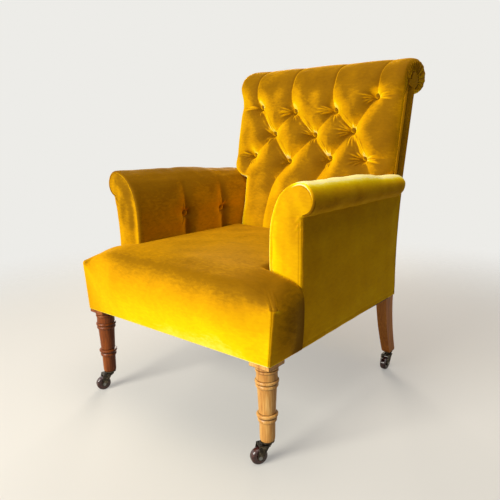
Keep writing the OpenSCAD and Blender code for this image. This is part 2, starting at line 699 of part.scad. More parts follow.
// Plain panels
panel_levels = concat([under_z + 0.5],
    [for (z = upright_levels) if (z >= rail_z0 && z < roll_z - arm_roll_r) z], [roll_z - arm_roll_r]);
module outside_arm(side) {
    color(velvet) mirrored(side) from_side(rail_out + cover_gap, panel_t)
        side_outline(panel_levels, [for (z = panel_levels) facing_y + facing_t + touch_gap],
            [for (z = panel_levels) post_rear(max(z, rail_z0))]);
}
module outside_back() {
    z_top = post_top - 4;
    narrow_z = roll_z - arm_roll_r;
    narrow = 40;
    levels = concat(panel_levels, [for (i = [1 : 4]) narrow_z + narrow * i / 4], [z_top]);
    function half(z) = half_w + (upright_top_x + 0.2 - half_w) * ease((z - narrow_z) / narrow);
    function rear(z) = post_rear(max(z, rail_z0)) + touch_gap;
    color(velvet) padded(
        [for (z = levels) [for (s = [-1, 0, 1]) [s * half(z), rear(z) + panel_t, z]]],
        [for (z = levels) [for (s = [-1, 0, 1]) [s * half(z), rear(z), z]]]);
}
cap_x = back_half + 0.5;
cap_in = [12, 8, 4];
module cap_outline(grow) {
    polygon([for (a = [0 : 9 : 351]) scroll_point(a, scroll_fore - cap_in[0] + grow,
        scroll_rear - cap_in[1] + grow, scroll_h - cap_in[2] + grow)]);
}
module back_border(side) {
    z0 = roll_z - arm_roll_r + 2;
    over_arm = arm_top - roll_fall + 1;
    levels = [z0, over_arm, over_arm, scroll_z - 15];
    proud = [-cover_gap, -cover_gap, pad_gap + back_pad_t * 0.55, pad_gap + back_pad_t * 0.55];
    color(velvet) mirrored(side) from_side(cap_x, panel_t) difference() {
        side_outline(levels, [for (i = [0 : 3]) post_front(levels[i]) - proud[i]],
            [for (i = [0 : 3]) post_rear(levels[i]) + (i < 2 ? 0 : touch_gap + panel_t)]);
        cap_outline(2 * touch_gap);
    }
}
module scroll_cap(side) {
    color(velvet) mirrored(side) from_side(cap_x, panel_t) cap_outline(0);
}

// Covered buttons: a domed front and a cone behind that sits in the tuft
tuft_cone = 10;
module covered_button() {
    rotate_extrude() polygon([
        [0, touch_gap], [button_r, tuft_cone], [button_r, tuft_cone + button_t * 0.4],
        [button_r * 0.8, tuft_cone + button_t * 0.8], [button_r * 0.4, tuft_cone + button_t],
        [0, tuft_cone + button_t * 1.05]]);
}
module back_buttons() {
    color(velvet) for (b = back_button_list)
        translate([b[0], post_front(b[1]) - pad_gap - tuft_t - 3 * touch_gap, b[1]])
            rotate([90 - back_lean, 0, 0]) covered_button();
}
module arm_buttons(side) {
    t = (arm_back_in - arm_inside(arm_button_z)) * (1 - arm_tuft);
    color(velvet) mirrored(side) for (n = [0, 1])
        translate([arm_back_in - t - touch_gap, arm_button_y + n * arm_button_step, arm_button_z])
            rotate([0, -90, 0]) covered_button();
}

// Castors. Their swivels rest turned as [front left, front right, rear left, rear right].
corner = ["front_left", "front_right", "rear_left", "rear_right"];
rest_turn = [250, 240, 214, 270];
plate_t = 2.5;
plate_r = [15, 15, 11.8, 11.8];
run_fit = 0.06;
side_gap = 0.6;
screw_ring = 8.2;
screw_r = 1.3;
screw_len = 15;
screw_head_r = 2.3;
screw_head_t = 1.4;
screw_fit = 0.05;
hub_z1 = castor_h - plate_t - touch_gap;
hub_z0 = hub_z1 - 8;
head_t = 2.2;
pin_z0 = hub_z0 - touch_gap - head_t;
cheek_in = wheel_w / 2 + side_gap;
cheek_out = cheek_in + cheek_t;
function castor_xy(c) = c < 2 ? [(c == 0 ? -1 : 1) * leg_x, 0]
    : [(c == 2 ? -1 : 1) * rear_castor_x, rear_castor_y];
module at_corner(c) { translate([castor_xy(c)[0], castor_xy(c)[1], 0]) children(); }
module at_wheel(c) {
    at_corner(c) rotate([0, 0, rest_turn[c]]) translate([trail, 0, wheel_r]) rotate([-90, 0, 0])
        children();
}
module screw_places() {
    for (a = [90, 210, 330]) rotate([0, 0, a]) translate([screw_ring, 0, 0]) children();
}
module screw_holes() {
    screw_places() translate([0, 0, castor_h - 1])
        cylinder(h = screw_len + 1.5, r = screw_r + screw_fit);
}
module castor_plate(c) {
    color(brass) at_corner(c) difference() {
        union() {
            translate([0, 0, castor_h - plate_t]) cylinder(h = plate_t, r = plate_r[c]);
            translate([0, 0, pin_z0]) cylinder(h = castor_h - 1 - pin_z0, r = pin_r);
            translate([0, 0, pin_z0]) cylinder(h = head_t, r = pin_r + 2);
        }
        screw_places() translate([0, 0, castor_h - plate_t - 1]) {
            cylinder(h = plate_t + 2, r = screw_r + screw_fit);
            cylinder(h = 1 + screw_head_t, r = screw_head_r + screw_fit);
        }
    }
}
module castor_screws() {
    color(brass) for (c = [0 : 3]) at_corner(c) screw_places() {
        translate([0, 0, castor_h - plate_t + 0.1]) cylinder(h = screw_head_t - 0.1, r = screw_head_r);
        translate([0, 0, castor_h - plate_t + 1]) cylinder(h = screw_len, r = screw_r);
    }
}
module castor_horn(c) {
    bridge_t = 4.5;
    color(brass) at_corner(c) rotate([0, 0, rest_turn[c]]) difference() {
        union() {
            translate([0, 0, hub_z0]) cylinder(h = hub_z1 - hub_z0, r = pin_r + 5);
            translate([-2, -cheek_out, hub_z0]) cube([trail + 3, 2 * cheek_out, bridge_t]);
            for (s = [-1, 1]) translate([0, s > 0 ? cheek_out : -cheek_in, 0]) rotate([90, 0, 0])
                linear_extrude(cheek_t) {
                    polygon([[-2, hub_z0 + bridge_t], [trail + 1, hub_z0 + bridge_t],
                        [trail + 6, wheel_r + 2], [trail - 5.5, wheel_r - 2]]);
                    translate([trail, wheel_r]) circle(6.2);
                }
        }
        translate([0, 0, hub_z0 - 1]) cylinder(h = hub_z1 - hub_z0 + 2, r = pin_r + run_fit);
        translate([trail, 2 * cheek_out, wheel_r]) rotate([90, 0, 0])
            cylinder(h = 4 * cheek_out, r = axle_r + run_fit / 2);
    }
}
module castor_axle(c) {
    head = 1.2;
    color(steel) at_wheel(c) {
        cylinder(h = 2 * cheek_out + 2 * touch_gap, r = axle_r, center = true);
        for (s = [-1, 1]) translate([0, 0, s * (cheek_out + 0.1 + head / 2)])
            cylinder(h = head, r = axle_r + 1.4, center = true);
    }
}
module castor_wheel(c) {
    round_r = min(5, wheel_w / 3);
    color(china) at_wheel(c) rotate_extrude() difference() {
        union() {
            translate([0, -wheel_w / 2]) square([wheel_r - round_r, wheel_w]);
            translate([0, round_r - wheel_w / 2]) square([wheel_r, wheel_w - 2 * round_r]);
            for (s = [-1, 1]) translate([wheel_r - round_r, s * (wheel_w / 2 - round_r)])
                circle(round_r);
        }
        translate([-wheel_r, -wheel_w]) square([wheel_r + axle_r + run_fit, 2 * wheel_w]);
    }
}

place() front_rail();
place() back_rail();
place() side_rail(-1);  // side_rail_left
place() side_rail(1);  // side_rail_right
place() front_leg(-1);  // front_leg_left
place() front_leg(1);  // front_leg_right
place() rear_upright(-1);  // rear_upright_left
place() rear_upright(1);  // rear_upright_right
place() crest_rail();
place() back_tacking_rail();
place() arm_stump(-1);  // arm_stump_left
place() arm_stump(1);  // arm_stump_right
place() arm_rail(-1);  // arm_rail_left
place() arm_rail(1);  // arm_rail_right
place() arm_tacking_rail(-1);  // arm_tacking_rail_left
place() arm_tacking_rail(1);  // arm_tacking_rail_right
place() corner_blocks();
place() seat_webbing();
place() seat_springs();
place() spring_hessian();
place() back_webbing();
place() arm_hessian(-1);  // arm_hessian_left
place() arm_hessian(1);  // arm_hessian_right
place() bottom_cloth();
place() seat_pad();
place() seat_front();
place() seat_border();
place() back_pad();
place() arm_pad(-1);  // arm_pad_left
place() arm_pad(1);  // arm_pad_right
place() arm_front(-1);  // arm_front_left
place() arm_front(1);  // arm_front_right
place() outside_arm(-1);  // outside_arm_left
place() outside_arm(1);  // outside_arm_right
place() outside_back();
place() back_border(-1);  // back_border_left
place() back_border(1);  // back_border_right
place() scroll_cap(-1);  // scroll_cap_left
place() scroll_cap(1);  // scroll_cap_right
place() back_buttons();
place() arm_buttons(-1);  // arm_buttons_left
place() arm_buttons(1);  // arm_buttons_right
place() castor_screws();
for (c = [0 : 3]) {
    place() castor_plate(c);
    place() castor_horn(c);
    place() castor_axle(c);
    place() castor_wheel(c);
}
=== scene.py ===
"""Button back armchair in mustard velvet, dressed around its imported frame.

Shapes are in millimetres, up from the floor and back from the front legs' axis, as on a chair maker's
drawing; placed() turns them into the frame's metres.
"""
import json
import math

import bmesh
import bpy
import numpy as np
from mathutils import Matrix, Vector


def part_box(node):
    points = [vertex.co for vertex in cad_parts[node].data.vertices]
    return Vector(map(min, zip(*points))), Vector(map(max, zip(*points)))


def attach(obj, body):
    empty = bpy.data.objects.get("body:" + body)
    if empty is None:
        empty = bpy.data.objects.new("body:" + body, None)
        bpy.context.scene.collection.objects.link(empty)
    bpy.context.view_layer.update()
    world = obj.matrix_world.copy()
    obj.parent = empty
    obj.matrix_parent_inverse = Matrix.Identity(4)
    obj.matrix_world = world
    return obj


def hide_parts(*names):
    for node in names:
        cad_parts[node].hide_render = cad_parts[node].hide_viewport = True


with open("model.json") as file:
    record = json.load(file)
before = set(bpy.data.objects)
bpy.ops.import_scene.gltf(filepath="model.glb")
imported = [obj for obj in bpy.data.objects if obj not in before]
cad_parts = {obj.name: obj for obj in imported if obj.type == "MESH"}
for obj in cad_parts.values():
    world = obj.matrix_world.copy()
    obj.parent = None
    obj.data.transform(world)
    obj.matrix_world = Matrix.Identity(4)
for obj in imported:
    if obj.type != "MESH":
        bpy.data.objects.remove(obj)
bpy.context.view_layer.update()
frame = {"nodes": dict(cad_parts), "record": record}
MM = 0.001
LEG_AXIS = -500 * (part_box("front_leg_left")[0].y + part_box("front_leg_left")[1].y)


# Small shared functions

def placed(points):
    """Millimetres on the drawing to metres in the frame."""
    return (np.asarray(points, float) - [0, LEG_AXIS, 0]) * MM


def held(t):
    """t kept between 0 and 1."""
    return np.clip(t, 0, 1)


def ease(t):
    """3t^2 - 2t^3 between 0 and 1, held outside."""
    t = held(t)
    return t * t * (3 - 2 * t)


def bell(distance, spread):
    """exp(-d^2 / 2s^2)."""
    return np.exp(-np.square(distance) / (2 * spread * spread))


def round_in(t):
    """Quarter circle: sqrt(1 - (1 - t)^2) for t from 0 to 1, then 1."""
    return np.sqrt(1 - np.square(1 - held(t)))


def rim(distance, reach):
    """1 at an edge, falling in a quarter circle to 0 at a distance of reach."""
    return 1 - round_in(distance / reach)


def turned(u, v, degrees):
    """(u, v) as distances along a direction and to its left."""
    turn = math.radians(degrees)
    return u * math.cos(turn) + v * math.sin(turn), v * math.cos(turn) - u * math.sin(turn)


def surface(x, y, z):
    """A grid of points from three coordinates, each spread over the grid."""
    return np.stack(np.broadcast_arrays(x, y, z), 2)


def packed(low, high, fine, coarse, reach, marks=()):
    """Positions from low to high, fine at each mark, or at both ends, and coarse farther off than reach."""
    line = np.arange(low, high + 0.25, 0.25)
    off = np.min(np.abs(line[:, None] - np.array(marks or (low, high), float)), axis=1)
    density = 1 / (fine + (coarse - fine) * ease(off / reach))
    run = np.concatenate([[0], np.cumsum((density[1:] + density[:-1]) / 2 * np.diff(line))])
    return np.interp(np.linspace(0, run[-1], int(round(run[-1])) + 1), run, line)


def waves(a, b, seed, size, lengths):
    """Soft unevenness: the sum of sines at seeded angles and phases."""
    rng = np.random.default_rng(seed)
    total = np.zeros(np.broadcast(a, b).shape)
    for length in lengths:
        for _ in range(4):
            turn, phase = rng.uniform(0, 2 * math.pi, 2)
            total = total + np.sin((a * math.cos(turn) + b * math.sin(turn)) * 2 * math.pi / length + phase)
    return size * total / (2 * math.sqrt(len(lengths)))


def grid_quads(rows, cols, around=False):
    """Four-cornered faces of a grid of points, row after row."""
    r, c = np.meshgrid(np.arange(rows - 1), np.arange(cols if around else cols - 1), indexing="ij")
    a, b = r * cols + c, r * cols + (c + 1) % cols
    return np.stack([a, b, b + cols, a + cols], -1).reshape(-1, 4)


def between_surfaces(outer, inner, quads):
    """Closed solid between two sets of points with the same faces, walled along their free edges."""
    count = len(outer)
    edges = np.concatenate([quads[:, [k, (k + 1) % 4]] for k in range(4)])
    a, b = edges[~np.isin(edges @ [count, 1], edges @ [1, count])].T
    walls = np.stack([b, a, a + count, b + count], 1)
    return np.concatenate([outer, inner]), [quads, quads[:, ::-1] + count, walls]


def over_core(outer, core_a, core_b):
    """Closed solid between a grid and a core straight from its first column to its last."""
    rows, cols = outer.shape[:2]
    a0, b0 = rows * cols, rows * cols + rows
    i = np.arange(rows - 1)
    side_a = np.stack([i * cols, i * cols + cols, a0 + i + 1, a0 + i], 1)
    side_b = np.stack([i * cols + cols - 1, b0 + i, b0 + i + 1, i * cols + 2 * cols - 1], 1)
    core = np.stack([a0 + i, a0 + i + 1, b0 + i + 1, b0 + i], 1)
    first = np.concatenate([np.arange(cols), [b0, a0]])[None, ::-1]
    last = np.concatenate([(rows - 1) * cols + np.arange(cols), [b0 + rows - 1, a0 + rows - 1]])[None, :]
    return np.concatenate([outer.reshape(-1, 3), core_a, core_b]), [
        grid_quads(rows, cols), side_a, side_b, core, first, last]


def joined(solids):
    """Several (points, faces) solids as one."""
    points, faces, count = [], [], 0
    for p, f in solids:
        points.append(p)
        faces += [part + count for part in f]
        count += len(p)
    return np.concatenate(points), faces


def resampled(line, count):
    """count points at equal distances along a line of points."""
    line = np.asarray(line, float)
    run = np.concatenate([[0], np.cumsum(np.linalg.norm(np.diff(line, axis=0), axis=1))])
    at = np.linspace(0, run[-1], count)
    return np.stack([np.interp(at, run, values) for values in line.T], 1)


def softened(line, spread):
    """A line of points one millimetre apart, each replaced by its bell-weighted mean; the ends stay."""
    reach = int(3 * spread)
    weight = bell(np.arange(-reach, reach + 1), spread)
    weight /= weight.sum()
    longer = np.concatenate([2 * line[0] - line[reach:0:-1], line, 2 * line[-1] - line[-2:-reach - 2:-1]])
    return np.stack([np.convolve(values, weight, "valid") for values in longer.T], 1)


def outline_of(line, spread):
    """A rough line of points, softened and with a point each millimetre, and its unit tangents."""
    size = int(np.sum(np.linalg.norm(np.diff(line, axis=0), axis=1)))
    smooth = softened(resampled(line, size + 1), spread)
    tangent = np.gradient(smooth, axis=0)
    return smooth, tangent / np.linalg.norm(tangent, axis=1, keepdims=True)


def sampled(rows, line):
    """Columns with the coordinates of a line of millimetre points at the distances in rows."""
    return [np.interp(rows, np.arange(len(line)), values)[:, None] for values in line.T]


# Pieces

def in_scene(name, data):
    """A new object with this data, linked to the scene."""
    thing = bpy.data.objects.new(name, data)
    bpy.context.scene.collection.objects.link(thing)
    return thing


def merged(mesh, closed=True):
    """Doubles merged and, on a closed piece, faces turned outwards and shaded smooth."""
    work = bmesh.new()
    work.from_mesh(mesh)
    bmesh.ops.remove_doubles(work, verts=work.verts, dist=1e-6)
    if closed:
        bmesh.ops.recalc_face_normals(work, faces=work.faces)
        for face in work.faces:
            face.smooth = True
    work.to_mesh(mesh)
    work.free()


def make(name, points, faces, nodes, finish, nap=None, tone_and_painted_light=0.0):
    """A finished piece that rides on the chair in place of its nodes. Its first points keep where they lie on the
    cloth, as nap, and the painted light and shade, with a little random tone, that lightens or deepens their colour."""
    mesh = bpy.data.meshes.new(name)
    mesh.from_pydata(placed(points).tolist(), [], [f for part in faces for f in part.tolist()])
    # Each point's painted light and shade, with a little random tone, for the velvet's colour
    lie, light_and_tone = np.zeros((len(points), 3)), np.zeros(len(points))
    nap = points * MM if nap is None else nap
    lie[:len(nap)] = nap
    light_and_tone[:np.size(tone_and_painted_light) if np.size(tone_and_painted_light) > 1 else None] = np.ravel(tone_and_painted_light)
    mesh.attributes.new("nap", "FLOAT_VECTOR", "POINT").data.foreach_set("vector", lie.astype(np.float32).ravel())
    mesh.attributes.new("tone_and_painted_light", "FLOAT", "POINT").data.foreach_set("value", light_and_tone.astype(np.float32))
    merged(mesh)
    mesh.materials.append(finish)
    thing = in_scene(name, mesh)
    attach(thing, "chair")
    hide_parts(*nodes)


def in_velvet(name, points, faces, nodes, lay=None, tone_and_painted_light=0.0, fill=None):
    """A piece in velvet. lay gives its cloth's own coordinates in millimetres."""
    nap = None if lay is None else surface(*lay).reshape(-1, 3) * MM
    make(name, points, faces, nodes, VELVET, nap, tone_and_painted_light)


def velvet_panel(name, side, front, back, nodes, lay, tone_and_painted_light, fill, around=False):
    """A velvet piece between two grids, drawn for the right side and mirrored for the left."""
    points, faces = between_surfaces(front.reshape(-1, 3), back.reshape(-1, 3),
                                     grid_quads(*front.shape[:2], around))
    in_velvet(name, points * [side, 1, 1], faces, nodes, lay, tone_and_painted_light, fill)


# Finishes

def linear(hexcode):
    """sRGB hex to linear colour."""
    parts = [int(hexcode[i:i + 2], 16) / 255 for i in (1, 3, 5)]
    return [p / 12.92 if p <= 0.04045 else ((p + 0.055) / 1.055) ** 2.4 for p in parts] + [1.0]


def add(tree, kind, inputs=None, out=0, stops=(), **settings):
    """Adds a node with its settings and a ramp's (position, hex) stops, sets or links its inputs by name or
    number, and gives back one of its outputs."""
    node = tree.nodes.new("ShaderNode" + kind)
    for key, value in settings.items():
        setattr(node, key, value)
    for key, value in (inputs or {}).items():
        if isinstance(value, bpy.types.NodeSocket):
            tree.links.new(value, node.inputs[key])
        else:
            node.inputs[key].default_value = value
    for _ in stops[2:]:
        node.color_ramp.elements.new(0.5)
    for index, (position, colour) in enumerate(stops):
        element = node.color_ramp.elements[index]
        element.position, element.color = position, linear(colour)
    return node.outputs[out]


def finish(name, **sockets):
    """A material whose Principled shader holds these constants, and its tree."""
    material = bpy.data.materials.new(name)
    material.use_nodes = True
    for key, value in sockets.items():
        material.node_tree.nodes["Principled BSDF"].inputs[key.replace("_", " ")].default_value = value
    return material, material.node_tree


def dressed(material, colour, relief, depth, strength, **others):
    """The material with its colour, a relief of that depth in metres and any other sockets linked."""
    tree = material.node_tree
    bump = add(tree, "Bump", {"Height": relief, "Distance": depth, "Strength": strength})
    for key, socket in {"Base_Color": colour, "Normal": bump, **others}.items():
        tree.links.new(socket, tree.nodes["Principled BSDF"].inputs[key.replace("_", " ")])
    return material


def pattern(tree, source, scale, detail=2.0, roughness=0.5, stretch=(1, 1, 1), distortion=0.0):
    """Cloudy pattern at scale per metre along a source, with each direction's own stretch."""
    lay = add(tree, "Mapping", {"Vector": source, "Scale": stretch})
    return add(tree, "TexNoise", {"Vector": lay, "Scale": scale, "Detail": detail, "Roughness": roughness,
                                  "Distortion": distortion})


def mustard_velvet():
    """Cut cotton velvet with dense 1.5 mm fibres: ochre, with a painted sheen that turns it lemon where a face is
    seen from the side, and painted light and shade by tilt, so faces that tilt down are painted lighter and those
    that tilt up deeper. Rubbed patches of 90 mm and crushed ones of 8 mm vary its tone at random. Each point's
    painted light and shade, -0.5 to 0.5, with a little random tone, lightens or deepens it."""
    material, tree = finish("mustard cut velvet", Roughness=0.75, Sheen_Weight=0.1, Sheen_Roughness=0.3,
                            Sheen_Tint=linear("#FFE650"), Specular_IOR_Level=0.05)
    lie = add(tree, "Attribute", out="Vector", attribute_name="nap")
    rubbed = pattern(tree, lie, 11, detail=6, roughness=0.74, distortion=0.6)
    crushed = pattern(tree, lie, 120, detail=3, roughness=0.6, stretch=(0.6, 1.4, 1), distortion=0.4)
    # Painted light and shade by tilt: the normal's height, mapped below, lightens faces that tilt down and deepens
    # those that tilt up.
    up = add(tree, "SeparateXYZ", {0: add(tree, "NewGeometry", out="Normal")}, out=2)
    shift = add(tree, "MapRange", {0: rubbed, 1: 0.3, 2: 0.7, 3: -0.055, 4: 0.055})
    # Painted sheen: the facing value lightens the colour towards lemon where a face is seen from the side.
    painted_sheen = add(tree, "LayerWeight", {"Blend": 0.5}, out="Facing")
    lit = add(tree, "Math", {0: painted_sheen, 1: 0.7, 2: shift}, operation="MULTIPLY_ADD")
    # Added to it: the painted light and shade by tilt, each point's painted light and shade with a little random tone,
    # and the crushed patches.
    for more in (add(tree, "MapRange", {0: up, 1: -0.6, 2: 0.9, 3: 0.44, 4: -0.13}),
                 add(tree, "Attribute", out="Fac", attribute_name="tone_and_painted_light"),
                 add(tree, "MapRange", {0: crushed, 1: 0.3, 2: 0.7, 3: -0.045, 4: 0.045})):
        lit = add(tree, "Math", {0: lit, 1: more}, operation="ADD")
    spread = add(tree, "Math", {0: lit, 1: 0.8, 2: 0.2}, operation="MULTIPLY_ADD")
    # Ochre to lemon as the painted light rises; the two palest stops are a painted highlight.
    colour = add(tree, "ValToRGB", {0: spread}, stops=[
        (0.0, "#744C00"), (0.2, "#7C5300"), (0.32, "#8C6000"), (0.47, "#C48A00"),
        (0.65, "#DFA800"), (0.84, "#F6CE00"), (0.95, "#FFE850"), (1.0, "#FFF0A0")])
    return dressed(material, colour, pattern(tree, lie, 700, roughness=0.6), 0.0006, 0.3)


def polished_wood(name, dark, middle, light, roughness, grooves=()):
    """French polished hardwood: grain lines along the leg, darker pores, a soft varnish coat, and painted shade in the
    turned grooves, given by their heights and half widths in millimetres."""
    material, tree = finish(name, Roughness=roughness, Coat_Weight=0.06, Coat_Roughness=0.2, Specular_IOR_Level=0.3)
    place = add(tree, "TexCoord", out="Object")
    figure = pattern(tree, place, 30, detail=3, roughness=0.6, stretch=(1, 1, 0.12), distortion=0.8)
    lines = pattern(tree, place, 420, detail=4, roughness=0.65, stretch=(1, 1, 0.04))
    grain = add(tree, "Mix", {0: 0.5, 2: figure, 3: lines})
    colour = add(tree, "ValToRGB", {0: grain}, stops=[(0.32, dark), (0.5, middle), (0.66, light)])
    height = add(tree, "SeparateXYZ", {0: place}, out=2)
    # Painted shade: each turned groove darkened towards near black brown
    for level, half in grooves:
        off = add(tree, "Math", {0: height, 1: level * MM}, operation="SUBTRACT")
        off = add(tree, "Math", {0: off}, operation="ABSOLUTE")
        share = add(tree, "MapRange", {0: off, 1: 0.4 * half * MM, 2: 1.6 * half * MM, 3: 0.8, 4: 0.0})
        colour = add(tree, "Mix", {0: share, 6: colour, 7: linear("#3A1B08")}, out=2, data_type="RGBA")
    return dressed(material, colour, lines, 0.0002, 0.5)


def clouded(name, stops, scale, depth, strength, cloud, dull=None, **sockets):
    """A material coloured by one cloudy pattern, which is its relief as well; dull gives the roughness of its dark
    and its pale parts where they differ."""
    material, tree = finish(name, **sockets)
    stain = pattern(tree, add(tree, "TexCoord", out="Object"), scale, **cloud)
    colour = add(tree, "ValToRGB", {0: stain}, stops=stops)
    rough = {"Roughness": add(tree, "MapRange", {0: stain, 1: 0.3, 2: 0.7, 3: dull[0], 4: dull[1]})} if dull else {}
    return dressed(material, colour, stain, depth, strength, **rough)


def woven(name, dark, light, thread):
    """Plain woven cloth: two sets of ridges cross, as threads of a real width in metres."""
    material, tree = finish(name, Roughness=0.9)
    threads = {"Vector": add(tree, "TexCoord", out="Object"), "Scale": 0.31 / thread, "Distortion": 0.6, "Detail": 1.0}
    warp, weft = (add(tree, "TexWave", threads, out=1, bands_direction=way) for way in "XY")
    cross = add(tree, "Mix", {0: 0.5, 2: warp, 3: weft})
    colour = add(tree, "ValToRGB", {0: cross}, stops=[(0.25, dark), (0.75, light)])
    return dressed(material, colour, cross, 0.0004, 0.8)


VELVET = mustard_velvet()
# Sawn, unpolished beech of the hidden frame: pale, dry, with short flecks along the boards
BEECH = clouded("sawn beech", [(0.35, "#A8865A"), (0.52, "#C9A878"), (0.7, "#D9BE92")], 180, 0.0003, 0.5,
                dict(detail=3, roughness=0.6, stretch=(0.15, 1, 1)), Roughness=0.75)
# Cast brass gone dull: almost black oxide in the hollows, worn paler where hands and carpet rub
BRASS = clouded("aged brass", [(0.35, "#2E2A26"), (0.55, "#575044"), (0.72, "#9A8F78")], 160, 0.0002, 0.5,
                dict(detail=4, roughness=0.7), (0.5, 0.25), Metallic=1.0)
# Drawn steel wire: plain grey metal with fine scratches
STEEL = clouded("drawn steel", [(0.3, "#7C7C7A"), (0.7, "#A5A5A2")], 500, 0.0001, 0.3, {}, Metallic=1.0, Roughness=0.42)
# Glazed stoneware of old castor wheels: treacle brown glaze with a hard shine and rub marks on the tread
CHINA = clouded("treacle brown china", [(0.3, "#2A1414"), (0.55, "#40201E"), (0.75, "#5A342C")], 120, 0.0002, 0.2,
                dict(detail=4, roughness=0.6, distortion=0.5), Roughness=0.14, Coat_Weight=0.7, Coat_Roughness=0.05)
LEG_GROOVES = [(94.5, 0.6), (104.5, 1.6), (114.5, 0.7), (171.5, 0.6), (181.2, 1.4), (189.5, 0.7), (205.5, 0.6),
               (211.8, 0.9), (218.6, 0.6)]
# A darker copy of the front legs' polish, used on the left front leg only
BROWN = polished_wood("brown polished beech", "#542406", "#84400E", "#A8601C", 0.36, LEG_GROOVES)
FINISH_OF = {"velvet": VELVET, "frame_wood": BEECH, "brass": BRASS, "spring_steel": STEEL, "china": CHINA,
             "leg_wood": polished_wood("honey polished beech", "#A2602A", "#D49A4E", "#F2C47A", 0.36, LEG_GROOVES),
             "rear_leg_wood": polished_wood("red brown polished beech", "#86420E", "#BE701E", "#DA9038", 0.38),
             "jute": woven("jute hessian", "#6E5634", "#B2946A", 0.002),
             "black_cloth": woven("black calico", "#0E0E0F", "#2A2A2C", 0.0012)}
for part in frame["record"]["subparts"]:
    shown = frame["nodes"][part["node"]]
    shown.data.materials.clear()
    shown.data.materials.append(BROWN if part["node"] == "front_leg_left" else FINISH_OF[part["material_slot"]])


# Sizes that the covers share

SEAT_TOP, UNDER = 396.0, 228.5
ARM_FRONT, ARM_REAR, FACING_REAR, SIDE_LENGTH = 79.5, 545.0, 92.0, 460
HALF_BODY, HALF_REAR = 300.5, 292.0
HALF_BACK, HALF_ROLL = 279.5, 283.0
SCROLL_Y, SCROLL_Z, SCROLL_FORE, SCROLL_REAR, SCROLL_H = 657.3, 822.0, 85.0, 65.0, 47.0
POST_Y, BEND_FROM, BEND_TO = 508, 267, 500
LEAN = math.tan(math.radians(11.9))
TILT = math.atan(LEAN)
PAD_GAP = PANEL = 2.5


def post_front(z):
    """Front of the back's uprights: straight to 267 mm, a parabola to 500 mm, then leaning 11.9 degrees."""
    up = z - BEND_FROM
    bend = BEND_TO - BEND_FROM
    return POST_Y + np.where(up < 0, 0, np.where(up < bend, LEAN * up ** 2 / (2 * bend), LEAN * (up - bend / 2)))


def post_rear(z):
    """Rear of the uprights, 42 mm behind their front below and 30 mm behind it above."""
    return post_front(z) + 42 - 12 * held((z - BEND_FROM) / (BEND_TO - BEND_FROM))


def back_stuffing(z):
    """Padding of the back: 33 mm, and 20 mm more in a bell round 390 mm high."""
    return 33 + 20 * np.exp(-((z - 390) / 110) ** 2)


def half_back(z):
    """Half width of the back: 210 mm between the arms, easing out by 14 mm to their rolls, then a quarter ellipse
    out over their tops."""
    low = 210 + 14 * ease((z - 440) / 105)
    return low + (HALF_BACK - low) * np.sqrt(1 - np.square(held((584 - z) / 42)))


def to_rear(y):
    """0 at the rear of the arms' facings, 1 at 460 mm farther back."""
    return held((y - FACING_REAR) / SIDE_LENGTH)


# Buttoned back and its scroll

BACK_BUTTONS = [(-202.1, 607.6), (-65.5, 593.3), (77.1, 603.6), (190.0, 604.9), (-134.6, 672.4), (14.9, 669.6),
                (142.7, 680.2), (-196.5, 754.2), (-65.0, 738.7), (77.3, 737.7), (203.7, 770.6)]
BACK_DIAGONALS = [(0, 4), (1, 4), (1, 5), (2, 5), (2, 6), (3, 6), (4, 7), (4, 8), (5, 8), (5, 9), (6, 9), (6, 10)]

slope_z = np.arange(306, 787, 4.0)
scroll_a = np.radians(np.arange(166, -110, -3.0))
SPINE, SPINE_ALONG = outline_of(np.concatenate([
    np.stack([post_front(slope_z) - PAD_GAP - back_stuffing(slope_z), slope_z], 1),
    np.stack([SCROLL_Y + np.where(np.cos(scroll_a) > 0, SCROLL_REAR, SCROLL_FORE) * np.cos(scroll_a),
              SCROLL_Z + SCROLL_H * np.sin(scroll_a)], 1)]), 9)
TOP_OF_SPINE = int(np.argmax(SPINE[:, 1]))


def up_back(line):
    """(x, height) places on the back's slope as (x, distance up its side outline)."""
    return [(x, float(np.interp(z, SPINE[:TOP_OF_SPINE, 1], np.arange(TOP_OF_SPINE)))) for x, z in line]


BUTTONS = up_back(BACK_BUTTONS)


def on_line(x, s, line, depths, width):
    """Depth of a fold along a line of (x, s) points: each point's own depth times (1 - distance / width)^2."""
    best, deep = np.full(x.shape, 1e9), np.zeros(x.shape)
    for (ax, ay), (bx, by), da, db in zip(line[:-1], line[1:], depths[:-1], depths[1:]):
        dx, dy = bx - ax, by - ay
        t = held(((x - ax) * dx + (s - ay) * dy) / (dx * dx + dy * dy))
        off = np.hypot(x - ax - t * dx, s - ay - t * dy)
        near = off < best
        best = np.where(near, off, best)
        deep = np.where(near, da + (db - da) * t, deep)
    return deep * held(1 - best / width) ** 2.0


def curved(a, b, bow):
    """Seven points from a to b, bowed sideways by bow millimetres in the middle."""
    t = np.linspace(0, 1, 7)[:, None]
    a, b = np.array([a, b], float)
    side = np.array([b[1] - a[1], a[0] - b[0]]) / np.linalg.norm(b - a)
    return a + (b - a) * t + side * bow * np.sin(math.pi * t)


# Pleats from the top buttons over the scroll: how far each stands sideways of its button, at these distances up
PLEAT_UP = (0, 14, 32, 60, 95, 150, 400)
PLEATS = {7: (0, -9, -17, -19, -14, -10, -10), 8: (0, -6, -11, -13, -10, -6, -6), 9: (0, -5, -8, -9, -6, -2, -2),
          10: (0, 1, 2, 5, 13, 18, 18)}
SIDE_DEPTHS = {0: [25, 17, 12, 9, 7, 5, 3], 7: [26, 18, 13, 10, 9, 8, 8], 10: [26, 18, 13, 10, 8, 6, 6]}
SIDE_DEPTHS[3] = SIDE_DEPTHS[0]
